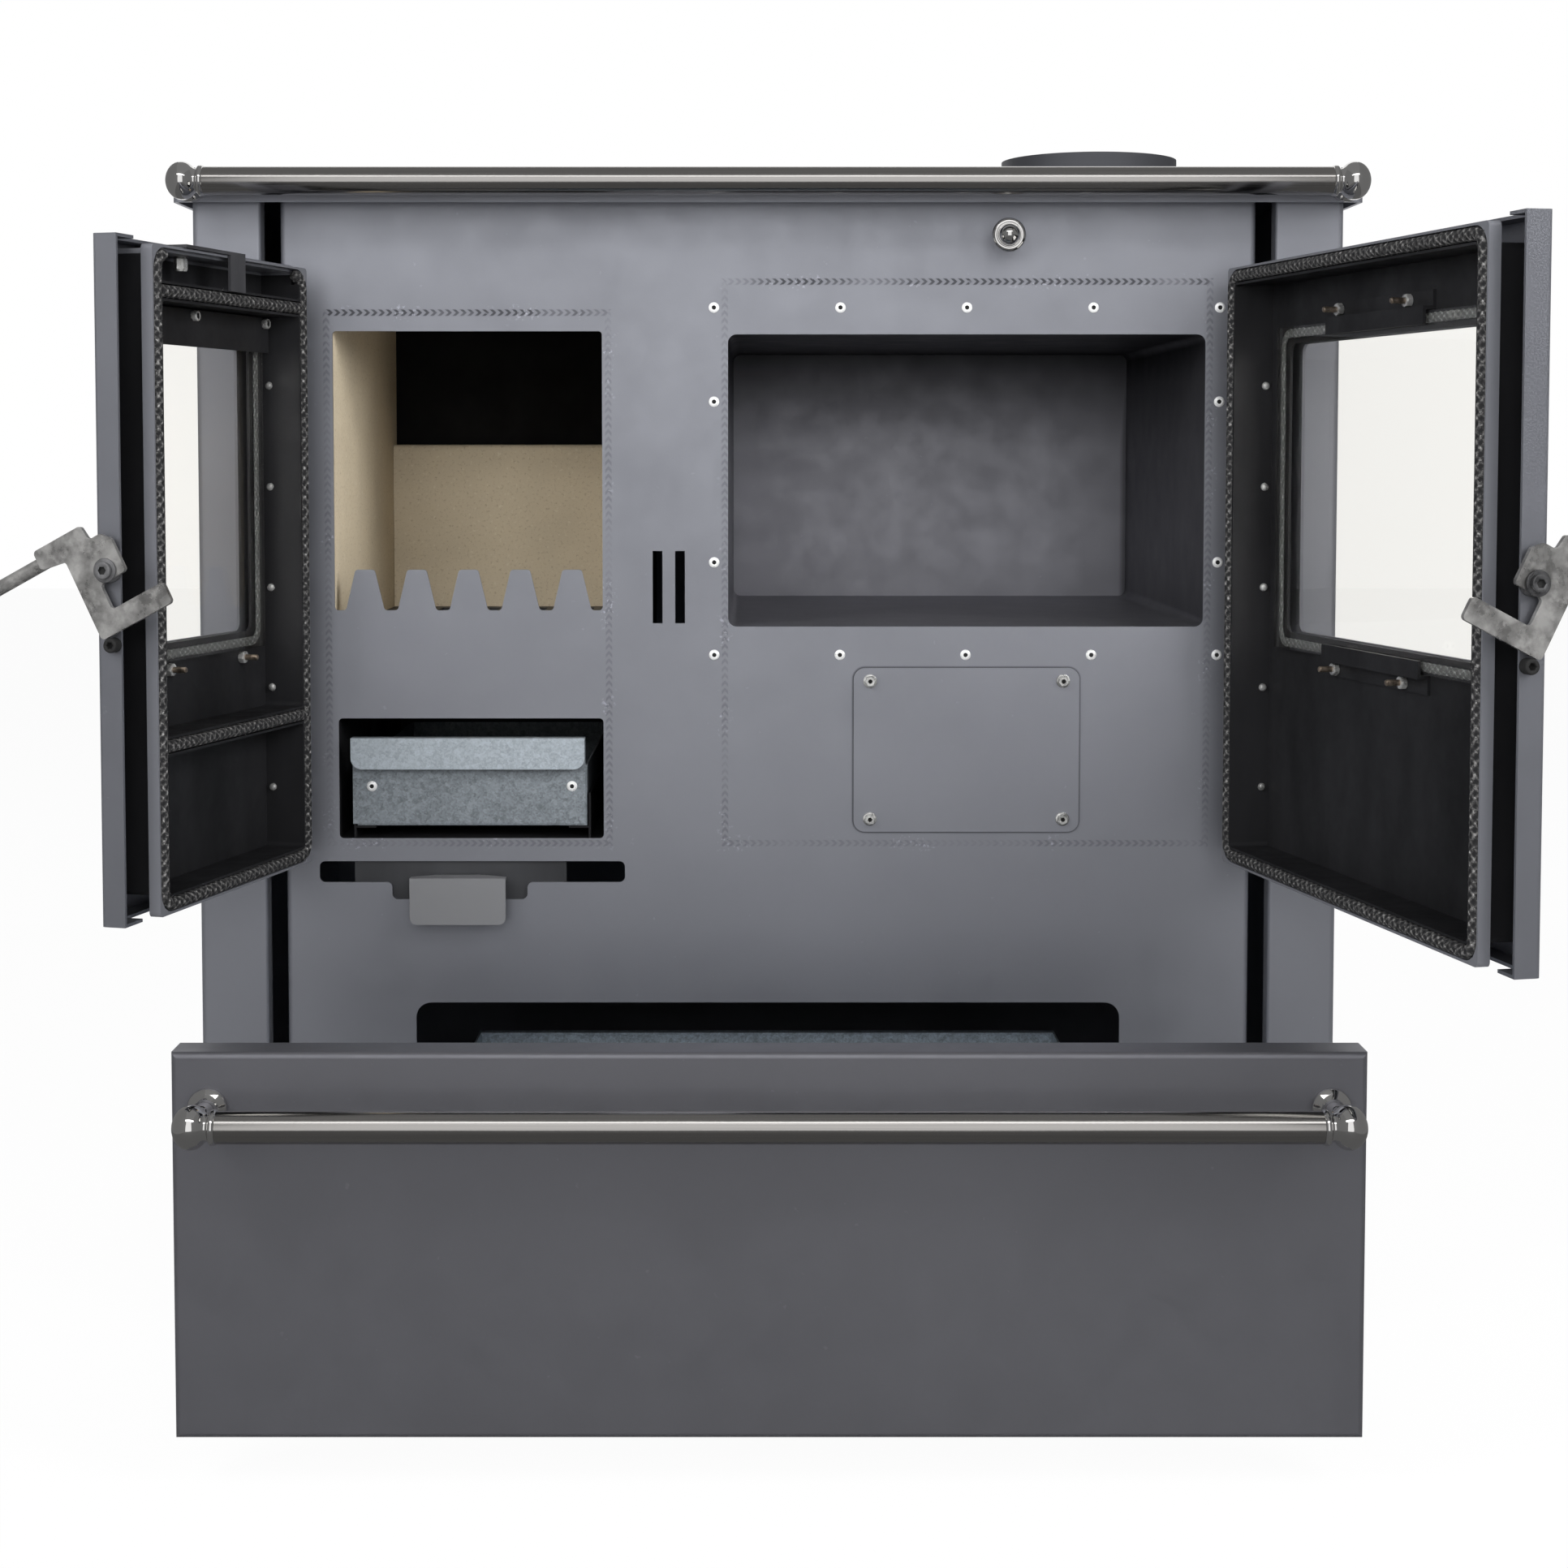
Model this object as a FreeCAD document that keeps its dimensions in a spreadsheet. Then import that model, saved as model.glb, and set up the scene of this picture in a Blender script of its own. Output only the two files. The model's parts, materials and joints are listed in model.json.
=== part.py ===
import FreeCAD, Part
import math
import os
import re
import Sketcher

# Wood cookstove: a folded-sheet cabinet with a firebox, an oven, two glazed doors,
# a wood drawer and an ash drawer. Millimetres, front towards -Y, floor at Z = 0.
# The model stands as photographed: both doors swung open and the wood drawer pulled out.
# "ahead" sizes are measured forward from the outer face of the front panel.

SIZES = {
    # cabinet
    "cabinet_w": 800, "body_depth": 530, "plinth_h": 30, "plinth_inset": 8, "top_z": 820,
    "sheet": 2, "side_flange_w": 47.5, "side_ahead": 10, "side_return": 14, "bend_r": 4,
    "panel_in": 59, "panel_bend": 22, "back_gap": 6,
    # cooktop
    "top_over": 10.5, "top_sheet": 3, "rim_h": 22, "top_ahead": 22, "top_rear": 12, "top_corner_r": 5,
    "hob_left": 55, "hob_right": 245, "hob_y": -8, "hob_d": 430, "hob_lip": 7, "hob_lip_t": 5,
    "hob_plug": 9, "hob_corner_r": 16, "lid_left": 190, "lid_y": -60, "lid_d": 200,
    "lid_step": 10, "lid_t": 3, "lid_plug_t": 4, "lid_gap": 0.4, "lid_slot_w": 9, "lid_slot_len": 34,
    # flue
    "flue_right": 121, "flue_y": 140, "flue_od": 150, "flue_wall": 3, "flue_h": 56.5,
    "flue_flange_d": 186, "flue_flange_t": 4,
    # rails with ball ends
    "rail_d": 19, "rail_over": 7, "rail_ahead": 45, "rail_drop": 10, "ball_d": 27.5, "ball_w": 20,
    "ball_neck_d": 22, "ball_neck_w": 4, "post_d": 12, "post_foot_d": 24, "post_foot_t": 3,
    # firebox mouth and lining
    "fire_left": 95, "fire_w": 188.7, "fire_z0": 514.7, "fire_drop": 109.5, "mouth_r": 2.5,
    "tooth_count": 5, "tooth_end": 8, "tooth_h": 28.6, "tooth_top_w": 13.5, "tooth_base_w": 27,
    "fire_deep": 272, "brick_t": 22, "brick_gap": 0.4, "brick_r": 5, "brick_side_drop": 87, "brick_back_top": 632,
    "fire_wall": 3, "fire_roof": 30, "smoke_drop": 85, "grate_top": 500, "grate_t": 14,
    "grate_gap": 1, "ledge_w": 14, "grate_bar": 10, "grate_slot": 9, "grate_rim": 16,
    # ash chamber and ash drawer
    "ash_left": 97, "ash_w": 187, "ash_z0": 353, "ash_z1": 438.3, "ash_wall": 1.5,
    "ash_r": 3, "tray_left": 109.5, "tray_w": 162.5, "tray_z0": 362, "tray_z1": 405, "tray_len": 268,
    "tray_sheet": 1.2, "lip_h": 22, "lip_z1": 425, "lip_ahead": 8, "lip_over": 3, "lip_r": 8,
    "ash_runner_h": 32, "ash_rivet_z": 390, "ash_rivet_in": 10.5,
    # primary air
    "air_left": 82.6, "air_w": 216.2, "air_z0": 321.7, "air_z1": 336.7, "air_notch_left": 134,
    "air_notch_w": 95.7, "air_notch_z": 309.5, "air_tab_left": 182.2, "air_tab_w": 67.3,
    "air_tab_z0": 294.5, "air_tab_z1": 327.3, "air_tab_ahead": 15, "air_tab_t": 2, "air_tab_r": 5,
    "air_plate_w": 150, "air_plate_h": 40, "air_gap": 0.4, "air_slot_r": 4, "air_stem_w": 28,
    "air_shelf": 7,
    # oven
    "oven_left": 372, "oven_right": 93.5, "oven_z0": 503.2, "oven_drop": 111.7, "oven_deep": 362,
    "oven_wall": 1.5, "oven_r": 6, "oven_flange": 22, "rivet_out": 9.8, "rivet_up": 18.6,
    "rivet_down": 20, "rivet_d": 7.5, "rivet_h": 1.2, "rivet_side_drop": 47.1, "rivet_side_z0": 548.5,
    # inspection cover
    "cover_right": 260, "cover_z": 416, "cover_w": 159, "cover_h": 116.2, "cover_r": 8,
    "cover_screw_in_x": 11.5, "cover_screw_in_z": 9.2, "cover_hole_in": 20, "screw_d": 8.5, "screw_h": 4,
    # damper pull
    "damper_right": 234.4, "damper_drop": 45, "damper_rod_d": 6, "damper_fit": 0.05, "damper_in": 190,
    "damper_knob_d": 23.4, "damper_knob_ahead": 26, "knob_ball_d": 15, "knob_ring_t": 8, "knob_edge": 2.5,
    "damper_plate_w": 90, "damper_plate_h": 34,
    # wood drawer
    "cutout_in": 150.2, "cutout_z": 235.6, "cutout_r": 11, "drawer_in": 42.5, "drawer_z0": 33,
    "drawer_h": 235, "drawer_ahead": 270, "drawer_flange": 25, "drawer_bend_r": 3.5,
    "box_in": 20.55, "box_z0": 46, "box_z1": 164, "box_len": 478, "box_sheet": 1.5, "box_hem": 8,
    "bar_z": 235, "bar_ahead": 42, "bar_in": 13, "runner_w": 30, "runner_gap": 1, "runner_h": 24,
    "bed_gap": 0.35,
    # doors
    "door_z0": 341, "door_drop": 64.5, "door_ahead": 42, "door_sheet": 2, "shell_depth": 15,
    "door_edge_r": 3, "hinge_in": 71, "hinge_ahead": 21, "door_over": 12, "fire_open": 105, "oven_open": 102,
    "edge_ahead": 29, "edge_gap": 2, "bevel_w": 28,
    "fire_door_w": 257.5, "oven_door_left": 344, "rope_d": 8.4, "rope_gap": 0.3, "rope_r": 9,
    "gasket_hinge": 31.7, "fire_gasket_free": 28.5, "oven_gasket_free": 25.7, "gasket_top": 10.5,
    "gasket_low": 8.5, "frame_wall": 1.5, "frame_lip": 3, "frame_r": 3, "skin_ahead": 31, "skin": 2,
    "window_z0": 505.5, "window_drop": 122, "window_r": 6, "fire_win_u0": 49, "fire_win_u1": 187,
    "oven_win_u0": 58, "oven_win_free": 64, "glass_lap": 11, "glass_t": 4, "seal_t": 2.5,
    "seal_w": 8, "seal_inset": 2, "cross_rope_drop": 96.6, "cross_rope_low": 446.5,
    "retainer_t": 2, "retainer_side": 16, "retainer_low": 5, "retainer_h": 23.5, "retainer_bolt_u": 40,
    "retainer_bolt_in": 4, "fixing_gap": 97.5, "clip_len": 130, "clip_foot": 12.5, "clip_lip": 8,
    "clip_bolt": 7.5, "clip_bolt_in": 10, "clip_bolt_gap": 92, "bolt_d": 8, "bolt_h": 4, "low_nut_u": 62,
    "low_nut_drop": 6, "stud_d": 4, "stud_out": 9, "socket_d": 7, "wall_rivet_z0": 396,
    "wall_rivet_drop": 149, "wall_rivet_ahead": 26, "wall_rivet_d": 5.5, "wall_rivet_h": 2.2,
    "slider_len": 77, "slider_h": 25, "slider_t": 2, "slider_u": 146, "slider_tab": 20,
    "slider_ahead": 0.7, "slider_drop": 25, "slider_travel": 20, "slider_bolt_d": 6, "slider_bolt_ahead": 20,
    "slider_bolt_in": 27.5, "slider_nut": 9,
    # hinges
    "ear_w": 14, "ear_t": 4, "ear_lo_z": 396, "ear_drop": 116, "pin_d": 8, "pin_fit": 0.06,
    "lug_gap": 0.4, "notch_clear": 4, "notch_deep": 12,
    # latches
    "latch_t": 3, "latch_off": 3.75, "pivot_z": 556, "pivot_ahead": 20, "latch_tilt": 27,
    "lever_w": 14.5, "lever_back": 21.5, "lever_low": 36, "arm_h": 13.5, "arm_len": 30.5,
    "notch_h": 16.5, "lobe_w": 12, "lobe_top": 21, "lobe_cut": 5.5, "lever_top": 31, "tab_len": 17,
    "tab_h": 12, "lever_r": 2.5,
    "flange_w": 12, "flange_t": 2.5, "flange_start": 18, "grip_d": 8.5, "grip_len": 118,
    "grip_up": 23.5, "pivot_d": 8, "pivot_fit": 0.06, "pivot_head_d": 15, "pivot_head_t": 4,
    "latch_play": 0.3, "stop_d": 9, "stop_back": 18.5, "slot_clear": 1.95, "slot_shift": 0.6, "slot_z0": 505.5,
    "slot_z1": 556.5,
}

# Widths, places and heights that follow the cabinet's walls and top.
FOLLOWING = {
    "panel_w": "cabinet_w - 2 * panel_in", "top_w": "cabinet_w + 2 * top_over",
    "rail_len": "cabinet_w + 2 * rail_over", "drawer_w": "cabinet_w - 2 * drawer_in",
    "bar_len": "drawer_w - 2 * bar_in", "cutout_w": "cabinet_w - 2 * cutout_in", "box_w": "cutout_w - 2 * box_in",
    "hob_w": "cabinet_w - hob_left - hob_right", "hob_x": "(hob_left - hob_right) / 2",
    "lid_x": "lid_left - cabinet_w / 2", "flue_x": "cabinet_w / 2 - flue_right",
    "fire_x0": "fire_left - cabinet_w / 2", "fire_x1": "fire_x0 + fire_w",
    "ash_x0": "ash_left - cabinet_w / 2", "ash_x1": "ash_x0 + ash_w",
    "tray_x0": "tray_left - cabinet_w / 2", "tray_x1": "tray_x0 + tray_w",
    "air_x0": "air_left - cabinet_w / 2", "air_x1": "air_x0 + air_w",
    "air_notch_x0": "air_notch_left - cabinet_w / 2", "air_notch_x1": "air_notch_x0 + air_notch_w",
    "air_tab_x": "air_tab_left - cabinet_w / 2",
    "oven_x0": "oven_left - cabinet_w / 2", "oven_x1": "cabinet_w / 2 - oven_right",
    "cover_x": "cabinet_w / 2 - cover_right", "damper_x": "cabinet_w / 2 - damper_right",
    "hinge_x": "cabinet_w / 2 - hinge_in",
    "oven_door_w": "cabinet_w - hinge_in + door_over - oven_door_left",
    "oven_win_u1": "oven_door_w - door_over - oven_win_free",
    "rail_z": "top_z - rail_drop", "damper_z": "top_z - damper_drop", "fire_wall_top": "top_z - fire_roof",
    "fire_z1": "top_z - fire_drop", "brick_side_top": "top_z - brick_side_drop", "smoke_sill": "top_z - smoke_drop",
    "oven_z1": "top_z - oven_drop", "rivet_side_z1": "oven_z1 - rivet_side_drop", "door_z1": "top_z - door_drop",
    "window_z1": "top_z - window_drop", "cross_rope_top": "top_z - cross_rope_drop",
    "wall_rivet_z1": "top_z - wall_rivet_drop", "ear_hi_z": "top_z - ear_drop",
}

doc = FreeCAD.newDocument("wood_cookstove")
sheet = doc.addObject("Spreadsheet::Sheet", "Sizes")
cells = dict(SIZES)
cells.update((alias, "=" + text) for alias, text in FOLLOWING.items())
for row, (alias, value) in enumerate(cells.items(), start=1):
    sheet.set("A%d" % row, alias)
    sheet.set("B%d" % row, str(value))
    sheet.setAlias("B%d" % row, alias)
doc.recompute()

V = FreeCAD.Vector
NAMES = re.compile(r"\b(" + "|".join(sorted(cells, key=len, reverse=True)) + r")\b")
pieces = []


def bound(text):
    """An expression on the sheet's aliases, written with their bare names."""
    return NAMES.sub(lambda found: "Sizes." + found.group(1), str(text))


def size(text):
    """The present value of such an expression."""
    return float(sheet.evalExpression(bound(text)))


# Places that several pieces share, as expressions.
PANEL_Y = "(-body_depth / 2)"
WALL_TOP = "(top_z - top_sheet)"
PIN_R = "(pin_d / 2)"


def ahead(text):
    """Y of a plane that stands this far ahead of the front panel."""
    return "(%s - (%s))" % (PANEL_Y, text)


def bind(thing, prop, text):
    thing.setExpression(prop, bound(text))


class Piece:
    """One PartDesign body: sketches on its own origin planes, then features on them."""

    def __init__(self, label):
        self.body = doc.addObject("PartDesign::Body", label)
        self.label = label
        pieces.append(self.body)

    def sketch(self, plane, height="0"):
        role = plane + "_Plane"
        origin = [f for f in self.body.Origin.OriginFeatures if f.Role == role][0]
        made = self.body.newObject("Sketcher::SketchObject", self.label + "_sketch")
        made.AttachmentSupport = [(origin, "")]
        made.MapMode = "FlatFace"
        bind(made, "AttachmentOffset.Base.z", height)
        return made

    def feature(self, kind, profile, length, reverse=False, symmetric=False):
        made = self.body.newObject("PartDesign::" + kind, self.label + "_" + kind.lower())
        made.Profile = profile
        bind(made, "Length", length)
        made.Reversed = reverse
        if symmetric:
            made.SideType = "Symmetric"
        self.last = made
        return made

    def pad(self, profile, length, reverse=False, symmetric=False):
        return self.feature("Pad", profile, length, reverse, symmetric)

    def pocket(self, profile, length, reverse=False, symmetric=False):
        """A pocket that must take material away."""
        doc.recompute()
        before = self.body.Shape.Volume
        made = self.feature("Pocket", profile, length, reverse, symmetric)
        doc.recompute()
        if self.body.Shape.Volume > before - 1e-6:
            raise RuntimeError("pocket cut nothing: " + made.Label)
        return made

    def fillet(self, test, radius):
        """Rounds every edge of the last feature whose bounds pass the test."""
        doc.recompute()
        edges = self.last.Shape.Edges
        names = ["Edge%d" % (i + 1) for i, e in enumerate(edges) if test(e.BoundBox)]
        made = self.body.newObject("PartDesign::Fillet", self.label + "_fillet")
        made.Base = (self.last, names)
        bind(made, "Radius", radius)
        self.last = made
        return made


def polygon(sketch, points):
    """A closed outline through points given as pairs of expressions."""
    first = sketch.GeometryCount
    count = len(points)
    at = [V(size(x), size(y), 0) for x, y in points]
    for i in range(count):
        sketch.addGeometry(Part.LineSegment(at[i], at[(i + 1) % count]), False)
    for i in range(count):
        follows = first + (i + 1) % count
        sketch.addConstraint(Sketcher.Constraint("Coincident", first + i, 2, follows, 1))
    for i, (x, y) in enumerate(points):
        for kind, text in (("DistanceX", x), ("DistanceY", y)):
            made = Sketcher.Constraint(kind, -1, 1, first + i, 1, size(text))
            number = sketch.addConstraint(made)
            bind(sketch, "Constraints[%d]" % number, text)


def rectangle(sketch, x0, y0, x1, y1):
    polygon(sketch, [(x0, y0), (x1, y0), (x1, y1), (x0, y1)])


def rounded(sketch, x0, y0, x1, y1, radius):
    """A rectangle with four equal corner arcs."""
    if size(x0) > size(x1):
        x0, x1 = x1, x0
    first = sketch.GeometryCount
    left, right, low, high = size(x0), size(x1), size(y0), size(y1)
    r = size(radius)
    corners = [(right - r, low + r, -90), (right - r, high - r, 0)]
    corners += [(left + r, high - r, 90), (left + r, low + r, 180)]
    runs = [((left + r, low), (right - r, low)), ((right, low + r), (right, high - r))]
    runs += [((right - r, high), (left + r, high)), ((left, high - r), (left, low + r))]
    for (start, end), (cx, cy, turn) in zip(runs, corners):
        sketch.addGeometry(Part.LineSegment(V(*start, 0), V(*end, 0)), False)
        circle_ = Part.Circle(V(cx, cy, 0), V(0, 0, 1), r)
        span = (math.radians(turn), math.radians(turn + 90))
        sketch.addGeometry(Part.ArcOfCircle(circle_, *span), False)
    for i in range(4):
        line, arc = first + 2 * i, first + 2 * i + 1
        follows = first + (2 * i + 2) % 8
        sketch.addConstraint(Sketcher.Constraint("Tangent", line, 2, arc, 1))
        sketch.addConstraint(Sketcher.Constraint("Tangent", arc, 2, follows, 1))
        kind = "Vertical" if i % 2 else "Horizontal"
        sketch.addConstraint(Sketcher.Constraint(kind, line))
        if i:
            sketch.addConstraint(Sketcher.Constraint("Equal", first + 1, arc))
    sides = [("Radius", None, radius), ("DistanceY", first, y0), ("DistanceX", first + 2, x1)]
    sides += [("DistanceY", first + 4, y1), ("DistanceX", first + 6, x0)]
    for kind, line, text in sides:
        if line is None:
            made = Sketcher.Constraint(kind, first + 1, size(text))
        else:
            made = Sketcher.Constraint(kind, -1, 1, line, 1, size(text))
        number = sketch.addConstraint(made)
        bind(sketch, "Constraints[%d]" % number, text)


def circle(sketch, x, y, radius):
    number = sketch.addGeometry(Part.Circle(V(size(x), size(y), 0), V(0, 0, 1), size(radius)), False)
    for kind, text in (("DistanceX", x), ("DistanceY", y)):
        made = Sketcher.Constraint(kind, -1, 1, number, 3, size(text))
        bind(sketch, "Constraints[%d]" % sketch.addConstraint(made), text)
    made = Sketcher.Constraint("Radius", number, size(radius))
    bind(sketch, "Constraints[%d]" % sketch.addConstraint(made), radius)


def block(label, x0, x1, y0, y1, z0, z1):
    """A plain block between six planes."""
    piece = Piece(label)
    base = piece.sketch("XY", z0)
    rectangle(base, x0, y0, x1, y1)
    piece.pad(base, "(%s) - (%s)" % (z1, z0))
    return piece


def group(label, solids):
    """Several like solids that share one node."""
    made = doc.addObject("Part::Feature", label)
    made.Shape = Part.makeCompound(solids)
    pieces.append(made)
    return made


def turned(profile):
    """A solid turned about Z from (radius, height) points that start and end on the axis."""
    points = [V(r, 0, h) for r, h in profile]
    face = Part.Face(Part.Wire(Part.makePolygon(points + points[:1])))
    return face.revolve(V(0, 0, 0), V(0, 0, 1), 360)


def aimed(solid, place, direction):
    """A copy of a solid made along Z, set at a place and turned to a direction."""
    made = solid.copy()
    made.Placement = FreeCAD.Placement(place, FreeCAD.Rotation(V(0, 0, 1), direction))
    return made


def flat_head(diameter, height):
    """A low round fastener head standing on Z = 0."""
    return Part.makeCylinder(diameter / 2, height)


def span(low, high):
    """A test for edges that lie within two corners."""
    slack = 0.01

    def within(box):
        lows = (box.XMin, box.YMin, box.ZMin)
        highs = (box.XMax, box.YMax, box.ZMax)
        above = all(a is None or b >= a - slack for a, b in zip(low, lows))
        below = all(a is None or b <= a + slack for a, b in zip(high, highs))
        return above and below

    return within


def through(points):
    """A test for edges that run along Y at one of the points of an XZ outline."""
    places = [(size(x), size(z)) for x, z in points]
    slack = 0.01

    def passes(box):
        straight = box.XLength < slack and box.ZLength < slack
        return straight and any(abs(box.XMin - x) < slack and abs(box.ZMin - z) < slack for x, z in places)

    return passes


# Base and walls


def base_plinth():
    """An upturned tray that carries the walls; its rim stands on the floor."""
    piece = Piece("base_plinth")
    half_w = "(cabinet_w / 2 - plinth_inset)"
    half_d = "(body_depth / 2 - plinth_inset)"
    outer = piece.sketch("XY")
    rounded(outer, "-" + half_w, "-" + half_d, half_w, half_d, "bend_r")
    piece.pad(outer, "plinth_h")
    inner = piece.sketch("XY")
    lim_w, lim_d = half_w + " - sheet", half_d + " - sheet"
    rounded(inner, "-(%s)" % lim_w, "-(%s)" % lim_d, lim_w, lim_d, "bend_r / 2")
    piece.pocket(inner, "plinth_h - sheet", reverse=True)


def side_panel(label, sign):
    """A folded wall: front flange with a return, outer wall and rear flange."""
    piece = Piece(label)
    outer = "%d * cabinet_w / 2" % sign
    skin = "%d * (cabinet_w / 2 - sheet)" % sign
    edge = "%d * (cabinet_w / 2 - side_flange_w)" % sign
    fold = "%d * (cabinet_w / 2 - side_flange_w + sheet)" % sign
    front, back = ahead("side_ahead"), "body_depth / 2"
    inner_front = ahead("side_ahead - sheet")
    fold_back = ahead("side_ahead - side_return")
    inner_back = "body_depth / 2 - sheet"
    profile = piece.sketch("XY", "plinth_h")
    polygon(profile, [
        (outer, front), (edge, front), (edge, fold_back), (fold, fold_back), (fold, inner_front),
        (skin, inner_front), (skin, inner_back), (edge, inner_back), (edge, back), (outer, back),
    ])
    piece.pad(profile, WALL_TOP + " - plinth_h")
    corner = size(outer)
    y = size(front)
    piece.fillet(span((corner, y, None), (corner, y, None)), "bend_r")
    nose = size(edge)
    piece.fillet(span((nose, y, None), (nose, y, None)), "bend_r / 2")


def back_panel():
    """The rear closing sheet, screwed over the rear flanges of the side walls."""
    piece = Piece("back_panel")
    half = "(cabinet_w / 2 - bend_r)"
    outline = piece.sketch("XZ", "-body_depth / 2 - sheet")
    rounded(outline, "-" + half, "plinth_h", half, WALL_TOP, "bend_r")
    piece.pad(outline, "sheet")


def front_panel():
    """The main front sheet with all its openings and two folded side edges."""
    piece = Piece("front_panel")
    half = "(panel_w / 2)"
    top = WALL_TOP
    outline = piece.sketch("XY", "plinth_h")
    face, back, fold = PANEL_Y, ahead("-sheet"), ahead("-panel_bend")
    inner = half + " - sheet"
    polygon(outline, [
        ("-" + half, face), (half, face), (half, fold), (inner, fold), (inner, back),
        ("-(%s)" % inner, back), ("-(%s)" % inner, fold), ("-" + half, fold),
    ])
    piece.pad(outline, top + " - plinth_h")
    y = size(face)
    edge = size(half)
    for x in (-edge, edge):
        piece.fillet(span((x, y, None), (x, y, None)), "bend_r")

    def cut(draw, radius=None):
        hole = piece.sketch("XZ", "body_depth / 2")
        corners = draw(hole)
        piece.pocket(hole, "4 * sheet", symmetric=True)
        if radius:
            piece.fillet(through(corners), radius)

    cut(fire_mouth, "mouth_r")
    cut(lambda s: rounded(s, "ash_x0", "ash_z0", "ash_x1", "ash_z1", "ash_r"))
    cut(lambda s: rounded(s, "oven_x0", "oven_z0", "oven_x1", "oven_z1", "oven_r"))
    cut(air_slot, "air_slot_r")
    for sign, width in ((1, "fire_door_w"), (-1, "oven_door_w")):
        cut(lambda s: latch_slot(s, sign, width))
    cut(drawer_cutout)
    cut(lambda s: circle(s, "damper_x", "damper_z", "damper_rod_d / 2 + damper_fit"))
    cover = ("cover_w / 2 - cover_hole_in", "cover_h / 2 - cover_hole_in")
    cut(lambda s: rounded(s, "cover_x - (%s)" % cover[0], "cover_z - (%s)" % cover[1],
                          "cover_x + (%s)" % cover[0], "cover_z + (%s)" % cover[1], "cover_r"))


def fire_mouth(sketch):
    """The firebox opening: its lower edge is a row of blunt teeth."""
    points = [("fire_x1", "fire_z0"), ("fire_x1", "fire_z1"), ("fire_x0", "fire_z1"), ("fire_x0", "fire_z0")]
    middle = "(fire_x0 + fire_x1) / 2"
    count = int(size("tooth_count"))
    pitch = "(fire_x1 - fire_x0 - 2 * tooth_end - tooth_base_w) / (tooth_count - 1)"
    for i in range(count):
        centre = "%s + %g * %s" % (middle, i - (count - 1) / 2, pitch)
        points.append((centre + " - tooth_base_w / 2", "fire_z0"))
        points.append((centre + " - tooth_top_w / 2", "fire_z0 + tooth_h"))
        points.append((centre + " + tooth_top_w / 2", "fire_z0 + tooth_h"))
        points.append((centre + " + tooth_base_w / 2", "fire_z0"))
    polygon(sketch, points)
    return points


def air_slot(sketch):
    """The long primary-air slot with a deeper notch behind the tab."""
    points = [
        ("air_x0", "air_z0"), ("air_notch_x0", "air_z0"), ("air_notch_x0", "air_notch_z"),
        ("air_notch_x1", "air_notch_z"), ("air_notch_x1", "air_z0"), ("air_x1", "air_z0"),
        ("air_x1", "air_z1"), ("air_x0", "air_z1"),
    ]
    polygon(sketch, points)
    return points


def latch_slot(sketch, sign, width):
    """The upright slot that takes a latch arm when its door is shut."""
    middle = "%d * (-hinge_x - door_over + %s + latch_off + latch_t / 2 + slot_shift)" % (sign, width)
    half = "latch_t / 2 + slot_clear"
    rectangle(sketch, "%s - (%s)" % (middle, half), "slot_z0", "%s + (%s)" % (middle, half), "slot_z1")


def drawer_cutout(sketch):
    """The arch in the foot of the panel that the drawer box runs through."""
    rounded(sketch, "-cutout_w / 2", "plinth_h - 2 * cutout_r", "cutout_w / 2", "cutout_z", "cutout_r")


# Cooktop, flue and top rail


def top_frame():
    """A shallow upturned pan with an opening for the cast plate and a hole for the flue."""
    piece = Piece("top_frame")
    half = "(top_w / 2)"
    front, back = ahead("top_ahead"), "body_depth / 2 + top_rear"
    outer = piece.sketch("XY", "top_z - rim_h")
    rounded(outer, "-" + half, front, half, back, "top_corner_r")
    piece.pad(outer, "rim_h")
    inner = piece.sketch("XY", "top_z - rim_h")
    rounded(inner, "-%s + top_sheet" % half, front + " + top_sheet", half + " - top_sheet",
            back + " - top_sheet", "top_corner_r / 2")
    piece.pocket(inner, "rim_h - top_sheet", reverse=True)
    hole = piece.sketch("XY", "top_z")
    rounded(hole, "hob_x - hob_w / 2", "hob_y - hob_d / 2", "hob_x + hob_w / 2",
            "hob_y + hob_d / 2", "hob_corner_r")
    circle(hole, "flue_x", "flue_y", "flue_od / 2 - flue_wall")
    piece.pocket(hole, "2 * top_sheet")


def hob_plate():
    """The cast cooking plate: a lip on the frame, a plug in its opening, a stepped lid hole."""
    piece = Piece("hob_plate")
    grow = "hob_lip"
    lip = piece.sketch("XY", "top_z")
    rounded(lip, "hob_x - hob_w / 2 - " + grow, "hob_y - hob_d / 2 - " + grow,
            "hob_x + hob_w / 2 + " + grow, "hob_y + hob_d / 2 + " + grow, "hob_corner_r + hob_lip")
    piece.pad(lip, "hob_lip_t")
    plug = piece.sketch("XY", "top_z")
    rounded(plug, "hob_x - hob_w / 2 + brick_gap", "hob_y - hob_d / 2 + brick_gap",
            "hob_x + hob_w / 2 - brick_gap", "hob_y + hob_d / 2 - brick_gap", "hob_corner_r - brick_gap")
    piece.pad(plug, "hob_plug", reverse=True)
    seat = piece.sketch("XY", "top_z + hob_lip_t")
    circle(seat, "lid_x", "lid_y", "lid_d / 2")
    piece.pocket(seat, "lid_t")
    through = piece.sketch("XY", "top_z + hob_lip_t")
    circle(through, "lid_x", "lid_y", "lid_d / 2 - lid_step")
    piece.pocket(through, "hob_lip_t + 2 * hob_plug")


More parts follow.
